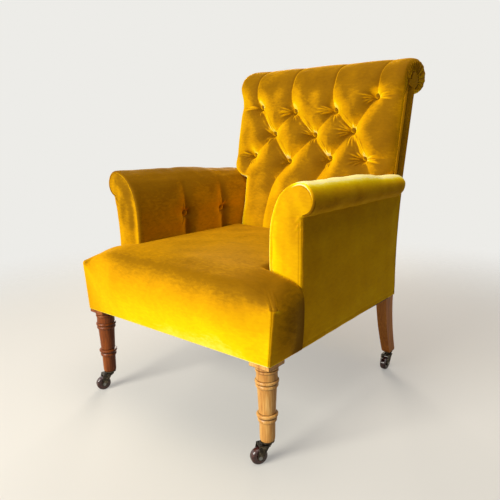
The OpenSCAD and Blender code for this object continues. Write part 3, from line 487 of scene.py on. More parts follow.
# Pleats from the lowest buttons down to the seat, two between the arms and two beside them: depths and places
INNER, OUTER = [28, 22, 18, 16, 14, 12, 9], [25, 14, 8, 5, 3, 2, 0]
LOW_PLEATS = [
    (INNER, [BACK_BUTTONS[1], (-82, 568), (-99, 545), (-110, 515), (-114, 480), (-116, 430), (-116, 372)]),
    (INNER, [BACK_BUTTONS[2], (63, 574), (47, 547), (38, 515), (33, 480), (31, 430), (30, 372)]),
    (OUTER, [BACK_BUTTONS[3], (204, 588), (216, 568), (224, 548), (230, 530), (232, 500), (232, 470)]),
    (OUTER, [BACK_BUTTONS[0], (-206, 590), (-214, 568), (-222, 548), (-230, 530), (-232, 500), (-232, 470)])]


def back_folds():
    """All folds of the back as (line of (x, s), depths, width)."""
    rng = np.random.default_rng(4)
    folds = [(curved(BUTTONS[i], BUTTONS[j], rng.uniform(-3, 3)), [27, 21, 17.5, 16, 17.5, 21, 27], 51)
             for i, j in BACK_DIAGONALS]
    for i, sideways in PLEATS.items():
        line = [(BUTTONS[i][0] + dx, BUTTONS[i][1] + ds) for dx, ds in zip(sideways, PLEAT_UP)]
        folds += [(line, [28, 22, 15, 8.5, 4, 2, 1], 48), (line, [12, 11, 10, 9, 7, 5, 3], 11)]
    for i, depths in SIDE_DEPTHS.items():
        x, s = BUTTONS[i]
        folds.append((curved((x, s), (math.copysign(HALF_BACK + 2, x), s + 3), 1), depths, 40))
    return folds + [(up_back(line), depths, 55) for depths, line in LOW_PLEATS]


# Fans of small folds at each button: middle direction in degrees, half spread, number, length in millimetres
FANS = [
    [(8, 38, 3, 26), (262, 42, 5, 34), (180, 14, 3, 46)],
    [(90, 26, 4, 36), (202, 14, 3, 26)],
    [(97, 26, 4, 36), (200, 16, 3, 26), (262, 14, 3, 30)],
    [(172, 50, 6, 48), (0, 12, 3, 62), (300, 20, 3, 26)],
    [(6, 36, 3, 30), (132, 12, 3, 44), (232, 16, 3, 36)],
    [(150, 20, 4, 48), (60, 22, 3, 26), (275, 20, 3, 34)],
    [(176, 30, 5, 50), (62, 22, 3, 28), (292, 18, 4, 52)],
    [(180, 10, 3, 60), (342, 20, 3, 34), (300, 12, 3, 40)],
    [(181, 15, 4, 56), (348, 18, 3, 28), (300, 14, 3, 40)],
    [(180, 15, 4, 56), (350, 18, 3, 28), (302, 14, 3, 38)],
    [(196, 22, 4, 48), (2, 12, 3, 60)],
]


def fans(x, s):
    """Radiating folds: bells as wide as 1.1 mm + 2% of the radius that ease in over 9 mm and out at their length,
    and their painted light and shade: a painted highlight up to 1 on a crest, painted shade down to -0.5 in the hollows
    between."""
    rng = np.random.default_rng(11)
    high, crest, near = np.zeros(x.shape), np.zeros(x.shape), np.zeros(x.shape)
    for (bx, bs), sets in zip(BUTTONS, FANS):
        for middle, spread, number, length in sets:
            for angle in np.linspace(middle - spread, middle + spread, number):
                forward, off = turned(x - bx, s - bs, angle + rng.uniform(-3, 3))
                far = length * rng.uniform(0.75, 1.15)
                tall = rng.uniform(3.0, 4.8)
                shape = bell(off, 1.1 + 0.02 * np.abs(forward))
                window = ease((forward - 8) / 9) * ease((far - forward) / (0.5 * far))
                high += tall * shape * window
                crest = np.maximum(crest, shape * window * (0.5 + 0.12 * tall))
                near = np.maximum(near, bell(off, 6) * window)
    return high, crest - 0.5 * near * (1 - crest)


def tucks(x, s):
    """Fine parallel ridges beside the lower ends of the folds that run down to the right."""
    high = np.zeros(x.shape)
    for top, low in ((7, 4), (4, 1), (8, 5), (5, 2), (6, 3), (9, 6)):
        (ax, ay), (bx, by) = BUTTONS[top], BUTTONS[low]
        dx, dy = bx - ax, by - ay
        size = math.hypot(dx, dy)
        t = ((x - ax) * dx + (s - ay) * dy) / size ** 2
        off = ((x - ax) * dy - (s - ay) * dx) / size
        window = ease((t - 0.3) / 0.2) * ease((0.97 - t) / 0.12)
        for shift, tall in ((-6.0, 3.2), (-12, 2.2), (6.0, 2.0)):
            high += tall * bell(off - shift * (1.25 - 0.5 * t), 1.4) * window
    return high


def end_fall(y, z):
    """How far the roll's end is drawn in: 8 mm at its front and top and 20 mm at its rear."""
    return 8 + 12 * held((y - SCROLL_Y) / np.maximum(np.hypot(y - SCROLL_Y, z - SCROLL_Z), 1))


def make_back():
    """Buttoned back and roll: the side outline carried across, sunk by folds, pits and rounded edges and raised by
    small folds. Folds and pits join as the fifth root of the sum of their fifth powers."""
    rows = packed(0, len(SPINE) - 1, 1.5, 3.2, 42, [s for _, s in BUTTONS])
    share = packed(-HALF_ROLL, HALF_ROLL, 1.5, 2.7, 26, [x for x, _ in BUTTONS] + [-HALF_ROLL, HALF_ROLL])
    share = share[None, :] / HALF_ROLL
    (y, z), (ty, tz) = sampled(rows, SPINE), sampled(rows, SPINE_ALONG)
    s = rows[:, None] + 0 * share
    upper = s >= TOP_OF_SPINE
    half = np.where(upper, HALF_ROLL, half_back(z) + (HALF_ROLL - HALF_BACK) * ease((z - 765) / 50))
    x = share * half
    folds = sum(on_line(x, s, line, depths, width) ** 5 for line, depths, width in back_folds())
    for bx, bs in BUTTONS:
        folds = folds + (29 * np.exp(-(np.hypot(x - bx, s - bs) / 17) ** 1.5)) ** 5
    deep = folds ** 0.2
    # Edges: rounder low down between the arms, and drawn in at the roll's ends
    near = half - np.abs(x)
    high_edge = 25 * rim(near, 45) + 5 * ease(1 - (near - 20) / 70)
    low_edge = 36 * rim(near, 34)
    to_low = np.where(upper, 0, ease((575 - z) / 30))
    to_roll = ease((s - up_back([(0, 778)])[0][1]) / 45)
    edge = ((high_edge * (1 - to_low) + low_edge * to_low) * (1 - to_roll)
            + end_fall(y, z) * rim(near, 26) * to_roll)
    raised, crest = fans(x, s)
    pinched = tucks(x, s)
    near_button = np.min([np.hypot(x - bx, s - bs) for bx, bs in BUTTONS], axis=0)
    raised = (raised + pinched) * ease((near_button - 5) / 8) + 1.5 + waves(x, s, 3, 0.5, (70, 130))
    drop = np.minimum(deep + edge * (1 - 0.5 * held(deep / 26)) - raised,
                      np.where(upper, 33, back_stuffing(z)) - 2.5)
    # Painted light and shade, with a little random tone: painted highlights on the crests of the small folds and tucks,
    # above and to the right of each button and low down, most at the left edge; painted shade in the hollows between
    # the small folds, round the buttons, below and left of each, and on the roll
    tone_and_painted_light = (-0.06 + 0.3 * crest + 0.1 * np.clip(pinched - 0.5, 0, 2) - 0.08 * bell(near_button, 12)
           + waves(x, s, 5, 0.05, (60, 130)) - 0.12 * to_roll + 0.12 * ease((560 - z) / 80) * (1 - upper)
           + 0.1 * bell(share + 0.93, 0.06) * (z < 600))
    for bx, bs in BUTTONS:
        tone_and_painted_light = (tone_and_painted_light + 0.3 * bell(x - bx + 1.5, 8) * bell(s - bs - 15, 10)
               + 0.1 * bell(x - bx - 22, 16) * bell(s - bs - 4, 18)
               - 0.16 * bell(x - bx + 26, 18) * bell(s - bs + 10, 14))
    # The core lies on the webbing, and inside the roll on a smaller outline
    flat = (s[:, :1] < TOP_OF_SPINE) & (z < 790)
    inner_y = np.where(flat, post_front(z) - PAD_GAP, SCROLL_Y + (y - SCROLL_Y) * 0.5)
    inner_z = np.where(flat, z, SCROLL_Z + (z - SCROLL_Z) * 0.4)
    core = [np.hstack([sign * half[:, :1], inner_y, inner_z]) for sign in (-1, 1)]
    points, faces = over_core(surface(x, y + drop * tz, z - drop * ty), *core)
    in_velvet("buttoned_back", points, faces, ["back_pad"], (x, s, deep), tone_and_painted_light, 0.8)


def make_buttons(name, nodes, centres, normal, radius, puckers, seed, tone_and_painted_light):
    """Covered buttons that all face one way, as one piece: each a dome of elliptic section, 7.5 mm high, with
    shallow puckers round its rim."""
    x = np.cross([0.2, 0.1, 1.0], normal)
    x /= np.linalg.norm(x)
    turn = np.linspace(0, 2 * math.pi, 40, endpoint=False)[None, :]
    rise = np.radians(np.linspace(-70, 90, 17))[:, None]
    tall = 7.5
    high = np.where(rise > 0, tall * 0.75, tall * 0.25) * np.sin(rise)
    solids = []
    for index, centre in enumerate(centres):
        phase = np.random.default_rng(seed + index).uniform(0, 6)
        wide = radius * np.cos(rise) * (1 + 0.025 * np.cos(puckers * turn + phase) * np.cos(rise) ** 2)
        grid = np.concatenate([surface(0 * turn, 0, -tall * 0.24),
                               surface(wide * np.cos(turn), wide * np.sin(turn), high)])
        solids.append((grid.reshape(-1, 3) @ np.array([x, np.cross(normal, x), normal]) + centre,
                       [grid_quads(len(grid), 40, around=True)]))
    in_velvet(name, *joined(solids), nodes, tone_and_painted_light=tone_and_painted_light)


make_back()
OUT_OF_BACK = np.array([0, -math.cos(TILT), math.sin(TILT)])
# Painted shade: the back's buttons deepened in colour by -0.22
make_buttons("back_covered_buttons", ["back_buttons"],
             [np.array([x, float(post_front(z)) - PAD_GAP - 2.5, z]) + OUT_OF_BACK * 2.2 for x, z in BACK_BUTTONS],
             OUT_OF_BACK, 9.3, 9, 0, -0.22)


# Seat: one cover over the crown, the front and the wings in front of the arms

CROWN_X, CROWN_Y, ARM_FOOT_Y, BETWEEN = 255.0, 12.0, 78.0, 213.6
WING_END, SEAT_REAR, UNDERSIDE = 84.0, 456.6, 301.0
SKIRT_ROWS = 42


def crown(x, y):
    """Height of the seat's top: its crown less a parabola to the front edge and one to each side."""
    return (SEAT_TOP - 28 * (np.maximum(60 - y, 0) / 105) ** 2
            - 31 * (np.maximum(np.abs(x) - 190, 0) / 120) ** 2)


def seat_outline(inner, side, half, front, bulge, radius=6.0):
    """Plan line round the seat's front for each point of its top's edge: a rectangle with rounded corners, swollen
    by a function of the side and the distance from the corner."""
    x = np.where(side == 0, inner[:, 0] * half / CROWN_X, side * half)
    y = np.where(side == 0, front, WING_END - (WING_END - inner[:, 1]) * (WING_END - front) / (WING_END - CROWN_Y))
    e = np.where(side == 0, half - np.abs(x), y - front)
    cx, cy = half - radius, front + radius
    ox, oy = np.abs(x) - cx, cy - y
    near = (ox > 0) & (oy > 0)
    size = np.maximum(np.hypot(ox, oy), 1e-6)
    x = np.where(near, np.sign(x) * (cx + radius * ox / size), x)
    y = np.where(near, cy - radius * oy / size, y)
    way = np.where(near[:, None], np.stack([np.sign(x) * ox / size, -oy / size], 1),
                   np.where(side[:, None] == 0, [[0.0, -1.0]], np.stack([side, 0 * side], 1)))
    return np.stack([x, y], 1) + way * bulge(side, e)[:, None], way, e


def seat_folds(skirt, side, e):
    """Small folds on the seat's skirt: gathers that fan to the rear and up from the top of each corner's seam,
    a groove down the seam, and soft slanting drags on the wings."""
    z = skirt[:, :, 2]
    e = np.broadcast_to(e, z.shape)
    rng = np.random.default_rng(21)
    high, drags = np.zeros(z.shape), np.zeros(z.shape)
    for k in range(7):
        forward, off = turned(e, z - 346, -8 + 13 * k + rng.uniform(-3, 3))
        high += (rng.uniform(1.4, 2.4) * bell(off, 1.7 + 0.03 * np.abs(forward)) * ease((forward - 2) / 6)
                 * ease((36 - forward) / 22))
    for k in range(4):
        drags += 0.9 * bell((z - 296 - 18 * k) * 0.9 + (e - 40) * 0.45, 5) * bell(e - 52, 30)
    return np.where(side != 0, high + drags, 0.3 * high * ease(1 - e / 20)) - 1.2 * bell(e, 1.6) * (z < 350)


def make_seat():
    """Seat cover: a crown that sinks to the arms and the back in quarter circles, and a skirt that goes over the
    shoulder on a superellipse and down to the hem, 3 mm thick below the seat's flat underside."""
    cols = packed(-CROWN_X, CROWN_X, 1.0, 4.0, 34, [-CROWN_X, CROWN_X, -BETWEEN, BETWEEN])
    for seam in (-BETWEEN, BETWEEN):
        cols[np.argmin(np.abs(cols - seam))] = seam
    front = packed(CROWN_Y, WING_END, 1.0, 3.0, 30)
    lines = np.concatenate([front, packed(WING_END, SEAT_REAR, 1.6, 4.2, 26)[1:]])
    x, y = np.meshgrid(cols, lines)
    to_arm = np.hypot(np.maximum(BETWEEN - np.abs(x), 0), np.maximum(ARM_FOOT_Y - y, 0))
    z = (crown(x, y) - 13 * rim(to_arm, 21) - 11 * rim(SEAT_REAR - y, 15)
         + waves(x, y, 8, 0.3, (90, 150)) + 1.5 * bell(y - 250, 120) * bell(x, 130))
    top = surface(x, y, z).reshape(-1, 3)
    across, n_front = len(cols), len(front)
    quads = grid_quads(len(lines), across)
    centre = top[quads].mean(1)
    quads = quads[(centre[:, 1] < WING_END) | (np.abs(centre[:, 0]) < BETWEEN)]
    # The skirt starts from the top's free edge, round from the left wing to the right one
    ring = np.concatenate([np.arange(n_front - 1, 0, -1) * across, np.arange(across),
                           np.arange(1, n_front) * across + across - 1])
    edge = top[ring]
    side = np.repeat([-1.0, 0.0, 1.0], [n_front - 1, across, n_front - 1])
    hem = seat_outline(edge, side, HALF_BODY, -28.5, lambda side, e: 0 * e)[0]
    eased = seat_outline(edge, side, 311.0, -29.0, lambda side, e: 12.0 * ease(e / 150) * (side == 0), 36.0)[0]
    widest, way, e = seat_outline(edge, side, 311.0, -29.0, lambda side, e: np.where(
        side == 0, 15.5 * ease(e / 150), 6 * bell(e - 48, 28) - 6 * ease((e - 60) / 55)))
    z_wide = 345 - 38 * ease(e / 75)
    shoulder = 2.5 - 1.15 * ease(1 - e / 75)
    lower = 1 + 0.9 * ease(e / 70)
    z_rim = crown(edge[:, 0], edge[:, 1])
    slope = np.where(side == 0, 0.25, 0.28)
    share = ((z_wide - UNDERSIDE) / (z_wide - UNDER)) ** lower
    inner_rim = widest + (hem - widest) * share[:, None] - way * 3
    rings, inner = [], []
    for t in np.radians(np.linspace(0, 90, SKIRT_ROWS))[1:]:
        f = math.sin(t) ** (2 / shoulder)
        g = 1 - math.cos(t) ** (2 / shoulder)
        out = eased + (widest - eased) * ease((g - 0.05) / 0.95)[:, None] - edge[:, :2]
        lean = slope * np.linalg.norm(out, axis=1) * f * (1 - f) ** 2
        height = z_rim - (z_rim - edge[:, 2]) * (1 - f) + (z_wide - z_rim) * g - lean
        rings.append(np.column_stack([edge[:, :2] + out * f[:, None], height]))
        inner.append(edge[:, :2] + (inner_rim - edge[:, :2]) * f[:, None])
    for t in np.linspace(0, 1, SKIRT_ROWS)[1:]:
        xy = widest + (hem - widest) * (t ** lower)[:, None]
        height = z_wide + (UNDER - z_wide) * t
        rings.append(np.column_stack([xy, height]))
        inner.append(np.where(height[:, None] > UNDERSIDE, inner_rim, xy - way * 3))
    skirt = np.array(rings)
    folds = seat_folds(skirt, side, e)
    skirt[:, :, :2] += way * folds[:, :, None]
    skirt[:, :, 2] += folds * held((skirt[:, :, 2] - 340) / 50) * 0.7
    index = np.concatenate([ring[None], len(top) + np.arange(skirt.size // 3).reshape(len(skirt), -1)])
    a, b = index[:-1], index[1:]
    faces = np.concatenate([quads, np.stack([a[:, :-1], b[:, :-1], b[:, 1:], a[:, 1:]], -1).reshape(-1, 4)])
    points = np.concatenate([top, skirt.reshape(-1, 3)])
    # Underside: flat under the crown, and inside the skirt below it
    low = points.copy()
    low[len(top):, :2] = np.array(inner).reshape(-1, 2)
    low[:, 2] = np.minimum(low[:, 2], UNDERSIDE)
    # Painted light and shade: painted shade on the crown, deeper away from its edge and to the rear, painted light down
    # the front, more to its right, and painted shade on the wings, deepening towards the arms
    down = held((370 - skirt[:, :, 2]) / 90)
    on_front = down * (0.15 * (1 + 1.3 * edge[:, 0] / 300) - 0.12 * ease((-edge[:, 0] - 60) / 200))
    on_wing = (-0.05 - 0.27 * ease(e / 55) - 0.3 * ease((e - 40) / 60)) * ease(down / 0.7)
    light = np.where(side == 0, on_front, on_wing) - 0.12 + 0.08 * ease((z_rim - skirt[:, :, 2]) / 26)
    from_rim = np.minimum(y - CROWN_Y, np.where(y < WING_END, CROWN_X - np.abs(x), 999))
    tone_and_painted_light = np.append(-0.12 - 0.05 * ease(from_rim / 70) - 0.04 * ease((y - 200) / 200), light)
    # The cloth's own coordinates: in plan on the top, across it and down its face on the skirt
    step = np.linalg.norm(np.diff(skirt, axis=0), axis=2)
    down_face = -np.cumsum(np.concatenate([0 * step[:1], step]), axis=0)
    lay = np.concatenate([surface(x, y, 0).reshape(-1, 3), surface(
        np.where(side == 0, skirt[:, :, 0], skirt[:, :, 1]), down_face, 0).reshape(-1, 3)])
    used, faces_used = np.unique(faces, return_inverse=True)
    solid, parts = between_surfaces(points[used], low[used], faces_used.reshape(faces.shape))
    in_velvet("seat_cover", solid, parts, ["seat_pad", "seat_front", "seat_border"], lay[used].T[:, None],
              tone_and_painted_light[used], 0.85)


make_seat()


# Arms

ARM_BUTTONS = ((249.0, 452.0), (398.0, 452.0))
# Section of an arm from the seat up its inner face and round its roll, as (sideways, height)
ARM, ARM_ALONG = outline_of([(213, 300), (212, 380), (211.5, 430), (213, 470), (218, 500), (227, 525), (241, 547),
                             (261, 565.5), (280, 574.5), (296, 577.5), (311, 573.5), (322, 564), (329, 550),
                             (330.5, 536), (325.5, 521), (315, 511), (303, 507.5)], 5)
TOP_OF_ARM = int(np.argmax(ARM[:, 1]))
# Core of an arm: round its rails, as (sideways, height)
ARM_CORE = [(264, 300), (264, 546.5), (303, 546.5), (303, 517.5), (301, 514)]
ARM_BUTTONS_AT = [(y, float(np.interp(z, ARM[:TOP_OF_ARM, 1], np.arange(TOP_OF_ARM)))) for y, z in ARM_BUTTONS]
NECK_X, NECK_Z = 299.0, 509.0


def drawn_in(x, y):
    """The arms narrow to the rear: up to 9 mm at their outside, nothing at their inner face."""
    return x - 9 * to_rear(y) * held((x - 212) / 117)


def outside_half(y):
    """Half width over the outside panels: 300.5 mm at the arm fronts, 292 mm at the rear."""
    return HALF_BODY + (HALF_REAR - HALF_BODY) * to_rear(y)


def on_inner_face(run):
    """1 on an arm's inner face, easing to 0 where its roll begins."""
    return ease((268 - run) / 55)


def rim_width(z, run, side):
    """Rounding of an arm's front edge: 4.5 mm on the roll and 6 mm on the inner face, but on the right arm 13 mm
    on the inner face and 25 mm at its foot."""
    return 4.5 + on_inner_face(run) * (1.5 + (side > 0) * (7 + 12 * ease((398 - z) / 50)))


def arm_tucks(y, run):
    """Depth of the tucks at an arm's buttons: a valley up and down from each, narrowing over the roll, and a pit.
    They join as the cube root of the sum of their cubes."""
    deep = np.zeros(y.shape)
    for by, s in ARM_BUTTONS_AT:
        off = y - by - 9 * ease((run - s) / 150)
        below = ease((s + 6 - run) / 12)
        valley = (8 + 3 * below) * np.exp(-np.abs(off / 17) ** 1.6) * (1 - 0.9 * ease((run - s - 10) / 110))
        pit = 17 * np.exp(-(np.hypot(off / 1.15, run - s) / 17) ** 1.5)
        deep = deep + np.maximum(valley, 0) ** 3 + pit ** 3
    return np.cbrt(deep)


def arm_fans(y, run):
    """Short folds above and below each arm button."""
    rng = np.random.default_rng(17)
    high = np.zeros(y.shape)
    for by, s in ARM_BUTTONS_AT:
        for angle in (62, 78, 102, 118, 242, 262, 280, 298):
            forward, off = turned(y - by, run - s, angle + rng.uniform(-4, 4))
            far = rng.uniform(24, 44)
            high += rng.uniform(1.2, 2.2) * bell(off, 1.7) * ease((forward - 6) / 8) * ease((far - forward) / 18)
    return high


def make_arm(side, name, nodes):
    """Inside arm and roll: the section carried back, tucked at two buttons, its front edge rolled inwards and
    its rear end rounded off."""
    right = side > 0
    rows = packed(0, len(ARM) - 1, 1.8, 3.0, 60, [152])
    (lx, lz), (tx, tz) = sampled(rows, ARM), sampled(rows, ARM_ALONG)
    run = rows[:, None]
    # Front edge: a quarter ellipse forwards, a smaller one back, then straight to the facing's rear
    turn = np.radians(np.linspace(0, 90, 9))[None, :]
    wide = rim_width(lz, run, side)
    back_y = np.concatenate([[FACING_REAR + 1], ARM_FRONT + 7 * (1 - np.cos(turn[0, ::-1]))])
    back_drop = np.concatenate([wide + 3.2, wide + 3.2 * np.sin(turn[:, ::-1])], 1)
    begin = ARM_FRONT + wide
    # Columns in thousandths of the way back, closer at both ends and at the two buttons
    at_buttons = [1000 * along / 452 for along in (155, 306)]
    rest = packed(0, 1000, 3.5, 8, 60, [0, *at_buttons, 1000])[1:] / 1000
    inner_end = post_front(lz) - 2.6
    end = np.where((run < TOP_OF_ARM) & (lz < 560),
                   inner_end + (ARM_REAR - inner_end) * ease((lz - 500) / 60), ARM_REAR)
    fore_y = ARM_FRONT + wide * (1 - np.cos(turn[:, 1:]))
    y = np.concatenate([back_y + 0 * run, fore_y, begin + rest * (end - begin)], 1)
    lip = np.concatenate([back_drop, wide * (1 - np.sin(turn[:, 1:])), 0 * run * rest], 1)
    run = run + 0 * y
    deep = arm_tucks(y, run)
    inner = on_inner_face(run)
    puff = 1.5 * inner + arm_fans(y, run) + waves(y, run, 31 + side, 0.6, (55, 100))
    rounding = (5 + 9 * ease((run - TOP_OF_ARM) / 40)) * rim(end - y, 46) * (1 - inner)
    drop = (deep - puff) * ease((y - ARM_FRONT) / 14) + lip + rounding
    z = lz - 11 * ease((y - 300) / 200) * held((lz - 545) / 32)
    grid = surface(drawn_in(lx, y) + drop * tz, y, z - drop * tx)
    core = resampled(ARM_CORE, len(rows))
    cores = [np.stack([drawn_in(core[:, 0], edge), edge, core[:, 1]], 1) for edge in (y[:, 0], y[:, -1])]
    # The cloth over the rail's rear end
    x0, x1, z0, z1 = 281, 298, 508, 549
    u, v = np.linspace(x0, x1, 12)[None, :], np.linspace(z0, z1, 20)[:, None]
    inset = np.minimum(np.minimum(u - x0, x1 - u), np.minimum(v - z0, z1 - v))
    flap = surface(u, ARM_REAR - 2.5 + 3.0 * round_in(inset / 6), v).reshape(-1, 3)
    back = flap * [1, 0, 1] + [0, ARM_REAR - 6, 0]
    points, faces = joined([over_core(grid, *cores), between_surfaces(flap, back, grid_quads(20, 12))])
    # Painted light and shade: a painted highlight on top of the right arm's roll and at its front edge; painted shade
    # on the rolls, most on top of the left one, on the inner faces, most on the left, in the tucks and under the roll
    rolled = ease((run - 265) / 40)
    on_top, on_face, in_tucks = (0.9, 0.03, 0.1) if right else (-0.25, 0.11, 0.24)
    tone_and_painted_light = (rolled * (on_top * bell(run - TOP_OF_ARM - 7, 24) - 0.14) - on_face * (1 - rolled)
           - in_tucks * held(deep / 20) - 0.4 * ease((run - len(ARM) + 62) / 40)
           + 0.2 * right * (1 - ease((y - ARM_FRONT - 2) / 12)) * (1 - rolled))
    in_velvet(name, points * [side, 1, 1], faces, nodes, (y, run, deep), tone_and_painted_light, 0.75)


def make_facing(side, name, nodes):
    """Scroll-shaped facing: rows between its inner edge, which carries on the arm's rounded front edge, and its
    outer edge up the neck and round the roll; stuffed out 3 mm in the middle, with gathers under the roll."""
    right = side > 0
    edge = ARM + (rim_width(ARM[:, 1], np.arange(len(ARM)), side) + 0.4)[:, None] * [1, -1] * ARM_ALONG[:, ::-1]
    swell = 0.0 if right else 10.0
    neck = np.array([[NECK_X, 300], [NECK_X, 400], [NECK_X + 0.15 * swell, 440], [NECK_X + 0.55 * swell, 475],
                     [NECK_X + swell, 500], [NECK_X + 0.6 + swell, NECK_Z]])
    left_line = resampled(edge[:TOP_OF_ARM + 1], 150)
    right_line = resampled(np.concatenate([neck, edge[:TOP_OF_ARM - 1:-1]]), 150)
    across = (1 - np.cos(np.linspace(0, math.pi, 56))) / 2
    flat = left_line[:, None] + (right_line - left_line)[:, None] * across[None, :, None]
    x, z = flat[:, :, 0], flat[:, :, 1]
    off = np.min(np.linalg.norm(flat[:, :, None] - edge[None, None, ::2], axis=3), axis=2)
    in_neck = np.interp(z, neck[:, 1], neck[:, 0]) - x
    to_neck = np.where(z < NECK_Z, in_neck, 99)
    groove = 0.2 + 2.6 * ease((z - 505) / 25) * ease((x - 258) / 25)
    fall = np.maximum(groove * rim(off, 5), 6.5 * rim(to_neck, 7))
    gathers = (1.3 if right else 0.3) * np.sin(z / 2.6 + 0.35 * in_neck) * bell(z - 492, 13) * bell(to_neck - 8, 5)
    seam = 1.1 * bell(to_neck - 5, 1.2) * ease((505 - z) / 12)
    y = (ARM_FRONT + fall - 3.0 * ease((off - 3) / 28) * ease(to_neck / 30) + seam - gathers
         + waves(x, z, 51 + side, 0.4, (40, 70)))
    # Painted light and shade: the left facing painted deeper, the right lighter, and both lighter near their inner edge
    # and low down
    tone_and_painted_light = ((0.1 if right else -0.3) + 0.2 * (1 - ease((off - 1) / 16)) * ease((520 - z) / 30)
           + 0.12 * ease((470 - z) / 80))
    velvet_panel(name, side, surface(x, y, z), surface(x, FACING_REAR, z), nodes, (x, z, 0), tone_and_painted_light, 0.5)


def make_outside_arm(side, name, nodes):
    """Plain panel, 2.5 mm thick: flat with a soft swell, turned under at its lower edge."""
    front, high = 84.3, 511.5
    z = packed(UNDER, high, 1.5, 5, 30)[:, None]
    rear = post_rear(z)
    y = front + (rear - front) * packed(0, SIDE_LENGTH, 1.5, 5.5, 30) / SIDE_LENGTH
    edge = np.minimum(np.minimum(z - UNDER, high - z), np.minimum(y - front, rear - y))
    swell = 2.4 * ease(edge / 60) - 1.5 * rim(edge, 3) - 0.6 * bell(z - UNDER - 11, 1.6)
    x = outside_half(y) + swell + waves(y, z, 61 + side, 0.6, (70, 130))
    # Painted shade: the outside panels' colour deepened by -0.08
    velvet_panel(name, side, surface(x, y, z), surface(outside_half(y) - PANEL, y, z), nodes, (y, z, 0), -0.08, 0.2)


def make_board(side, name, nodes, outer_edge, short=0):
    """A sawn board along the chair, its long edges eased by 2 mm: the node's own box cut short at the rear, with an
    outer edge that follows a function of the distance back."""
    low, high = (np.array(corner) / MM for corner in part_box(nodes[0]))
    inner, outer = sorted(np.abs([low[0], high[0]]))
    y = np.linspace(low[1] + LEG_AXIS, high[1] + LEG_AXIS - short, 40)[:, None]
    turn, r = np.arange(16), 2.0
    corner = np.radians(30 * (turn - turn // 4) - 90)
    x = np.where(turn < 8, np.minimum(outer_edge(y), outer) - r, inner + r) + r * np.cos(corner)
    z = np.where((turn > 3) & (turn < 12), high[2] - r, low[2] + r) + r * np.sin(corner)
    ends = [turn[None, ::-1], 39 * 16 + turn[None, :]]
    make(name, surface(x, y, z).reshape(-1, 3) * [side, 1, 1], [grid_quads(40, 16, around=True)] + ends, nodes,
         BEECH)


for side, word in ((-1, "left"), (1, "right")):
    make_arm(side, f"arm_{word}_padding", [f"arm_pad_{word}"])
    # Painted shade: the arms' buttons deepened in colour by -0.2
    make_buttons(f"arm_{word}_covered_buttons", [f"arm_buttons_{word}"],
                 [np.array([side * 226.5, y, z]) for y, z in ARM_BUTTONS], [-side, 0, 0], 9.6, 8, 40, -0.2)
    make_facing(side, f"arm_{word}_facing", [f"arm_front_{word}"])
    make_outside_arm(side, f"arm_{word}_outside", [f"outside_arm_{word}"])
    make_board(side, f"seat_{word}_side_rail", [f"side_rail_{word}"], lambda y: outside_half(y) - 3)
    make_board(side, f"arm_{word}_rail", [f"arm_rail_{word}"], lambda y: drawn_in(302.4, y), 8)


# Back's borders, scroll ends and outside panel

END_FORE, END_REAR, END_H = 74.0, 46.0, 39.5
OVAL_Y, OVAL_Z, OVAL_R = 628.0, 810.0, 23.0
BORDER = 38.0


def make_outside_back():
    """Plain panel over the rear, 2.5 mm thick, narrowing over the arms from 292 to 289.4 mm each side."""
    high = 789.0
    z = packed(UNDER, high, 1.6, 5, 30, [UNDER, high, 530])[:, None]
    half = HALF_REAR + (289.4 - HALF_REAR) * ease((z - 510) / 40)
    x = half * packed(-HALF_REAR, HALF_REAR, 1.6, 5.5, 30) / HALF_REAR
    edge = np.minimum(np.minimum(z - UNDER, high - z), half - np.abs(x))
    base = post_rear(z) + 0.3
    y = (base + PANEL + 3.0 * ease(edge / 70) - 1.4 * rim(edge, 3)
         + waves(x, z, 71, 0.5, (80, 140)) * ease(edge / 25))
    velvet_panel("outside_back_panel", 1, surface(x, y, z), surface(x, base, z), ["outside_back"], (x, z, 0), 0.0, 0.2)


def in_border(v, z):
    """Place in the back's border: v goes from 5 mm before the uprights' front, at 0, to their rear, at 1."""
    front = post_front(z) - 5
    return front + v * (post_rear(z) + 0.2 - front)


def make_border(side, name, nodes):
    """Side border of the back, from the pad's side edge to the rear: a piped fold 4 mm behind its front edge, a seam
    behind that, then a band that stands out 5 mm more by its rear edge. Its top meets the scroll's end."""
    run = packed(0, BORDER, 0.6, 2.5, 8, [0, 4, 8.6, BORDER])[None, :]
    v = run / BORDER
    low, top = 511.0, np.full(v.shape, 780.0)
    for _ in range(20):
        ellipse = 1 - ((in_border(v, top) - SCROLL_Y) / END_FORE) ** 2
        top = 0.5 * top + 0.5 * (SCROLL_Z - (END_H + 1) * np.sqrt(held(ellipse)))
    z = low + (top + 3 - low) * np.linspace(0, 1, 120)[:, None]
    y = in_border(v, z)
    x = (282.3 + 2.4 * bell(run - 4, 1.7) - 1.4 * bell(run - 8.6, 1.1) + 5.2 * ease(v)
         - 1.2 * rim(BORDER - run, 3) - 1.0 * rim(run, 2)
         + 0.6 * np.sin(z / 23 + 1.3) * bell(run - 14, 9))
    # Painted shade: the border deepened, most on the band behind its seam
    tone_and_painted_light = -0.15 - 0.15 * ease((run - 8) / 3) + 0 * z
    velvet_panel(name, side, surface(x, y, z), surface(HALF_BACK, y, z), nodes, (run, z, 0), tone_and_painted_light, 0.3)


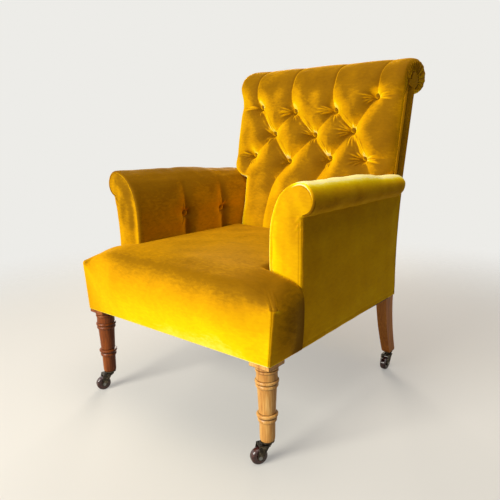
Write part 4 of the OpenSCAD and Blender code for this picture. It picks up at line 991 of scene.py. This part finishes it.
def make_scroll_end(side, name, nodes):
    """End of the scroll: the roll's cloth comes over its rim in pleats and is sewn round a plain oval that runs
    down into the border, with a groove between."""
    turn = np.linspace(0, 2 * math.pi, 330, endpoint=False)[None, :]
    r = np.sqrt(np.linspace(0, 1, 60))[:, None]
    y = SCROLL_Y + np.where(np.cos(turn) > 0, END_REAR, END_FORE) * np.cos(turn) * r
    z = SCROLL_Z + END_H * np.sin(turn) * r
    about = np.arctan2(z - OVAL_Z, y - OVAL_Y)
    in_oval = np.hypot(y - OVAL_Y, z - OVAL_Z) - OVAL_R
    band = np.where(z < OVAL_Z, np.abs(y - (post_front(z) + post_rear(z)) / 2 + 1.5) - 18.5, 99)
    off = np.minimum(in_oval, band)
    plain_part = ease(0.5 - off / 3)
    pleats = np.sin(24 * about + 0.7 * np.sin(5 * about + side)) * ease(off / 4) * ease((1.04 - r) / 0.16)
    ring = 286.2 + 1.5 * pleats - 3.2 * rim(1 - r, 0.2) - 2.2 * rim(off, 6)
    oval = 285.6 + 1.4 * round_in(-off / 8)
    x = ring * (1 - plain_part) + oval * plain_part - 1.6 * bell(off, 1.3) * (z > 775)
    # Painted shade: the scroll end deepened, most on its plain oval, with a painted highlight on the pleats' crests
    tone_and_painted_light = -0.24 - 0.1 * plain_part + 0.05 * pleats
    velvet_panel(name, side, surface(x, y, z), surface(276, y, z), nodes, (y, z, 0), tone_and_painted_light, 0.6, around=True)


make_outside_back()
for side, word in ((-1, "left"), (1, "right")):
    make_border(side, f"back_{word}_border", [f"back_border_{word}"])
    make_scroll_end(side, f"scroll_{word}_end", [f"scroll_cap_{word}"])


# Room, lights and camera

def studio_floor():
    """A wide flat floor: matt pale paint that fades into the pale room farther off, and clear from below."""
    material, tree = finish("pale studio floor", Base_Color=linear("#ADAAA4"), Roughness=0.9,
                            Emission_Color=linear("#F0EEEA"))
    shader = tree.nodes["Principled BSDF"]
    lift = add(tree, "Math", {0: add(tree, "LightPath", out="Is Camera Ray"), 1: 0.3}, operation="MULTIPLY")
    tree.links.new(lift, shader.inputs["Emission Strength"])
    away = add(tree, "VectorMath", {0: add(tree, "TexCoord", out="Object")}, out="Value", operation="LENGTH")
    share = add(tree, "MapRange", {0: away, 1: 0.85, 2: 2.1}, interpolation_type="SMOOTHSTEP")
    below = add(tree, "NewGeometry", out="Backfacing")
    share = add(tree, "Math", {0: share, 1: below}, operation="MAXIMUM")
    both = add(tree, "MixShader", {0: share, 1: shader.outputs[0], 2: add(tree, "BsdfTransparent")})
    tree.links.new(both, tree.nodes["Material Output"].inputs["Surface"])
    reach = np.concatenate([[0.0], np.geomspace(0.3, 8, 16)])[:, None]
    turn = np.linspace(0, 2 * math.pi, 64, endpoint=False)[None, :]
    grid = surface(reach * np.cos(turn), reach * np.sin(turn), 0.0)
    mesh = bpy.data.meshes.new("studio_floor")
    mesh.from_pydata(grid.reshape(-1, 3).tolist(), [], grid_quads(17, 64, around=True)[:, ::-1].tolist())
    merged(mesh, closed=False)
    mesh.materials.append(material)
    in_scene("studio_floor", mesh)


def lamp(name, place, target, size, power, colour):
    """Square soft lamp that looks at a point."""
    light = bpy.data.lights.new(name, "AREA")
    light.size, light.energy, light.color = size, power, linear(colour)[:3]
    thing = in_scene(name, light)
    thing.location = place
    x, y, z = np.subtract(place, target)
    thing.rotation_euler = (math.pi / 2 - math.atan2(z, math.hypot(x, y)), 0, math.atan2(x, -y))


def pale_room():
    """A weak even light on the chair, and a plain pale surround for the eye and for reflections."""
    world = bpy.data.worlds.new("pale room")
    world.use_nodes = True
    tree = world.node_tree
    share = add(tree, "LightPath", out="Is Camera Ray")
    for name in ("Is Glossy Ray", "Is Transmission Ray"):
        share = add(tree, "Math", {0: share, 1: add(tree, "LightPath", out=name)}, operation="MAXIMUM")
    fill = add(tree, "Background", {"Color": linear("#F4F4F6"), "Strength": 0.1})
    show = add(tree, "Background", {"Color": linear("#EDECE8"), "Strength": 1.0})
    both = add(tree, "MixShader", {0: share, 1: fill, 2: show})
    tree.links.new(both, tree.nodes["World Output"].inputs["Surface"])
    bpy.context.scene.world = world


studio_floor()
pale_room()
lamp("window_light", (-0.52, -2.98, 1.6), (0.0, -0.3, 0.3), 1.5, 138, "#FFFDF3")
lamp("ceiling_light", (0.3, -0.2, 2.6), (0.1, 0.0, 0.4), 1.6, 31, "#FFF7EC")
lamp("rear_light", (-2.0, 2.4, 1.3), (0.0, 0.0, 0.5), 1.4, 75, "#FFF5E8")

# The photograph's view: its focal length and middle in pixels of a 500 pixel frame
FOCAL, MIDDLE_X, MIDDLE_Y, PIXELS = 507.88, 282.53, 255.16, 500
view = bpy.data.cameras.new("photograph_view")
view.sensor_width = 36
view.lens = view.sensor_width * FOCAL / PIXELS
view.shift_x, view.shift_y = 0.5 - MIDDLE_X / PIXELS, MIDDLE_Y / PIXELS - 0.5
camera = in_scene("photograph_view", view)
camera.location = (0.8631, -0.7334 - LEG_AXIS * MM, 0.6635)
camera.rotation_euler = (math.pi / 2 - 0.2299, 0.0028, 0.6435)
bpy.context.scene.camera = camera

bpy.context.scene.view_settings.view_transform = "Standard"
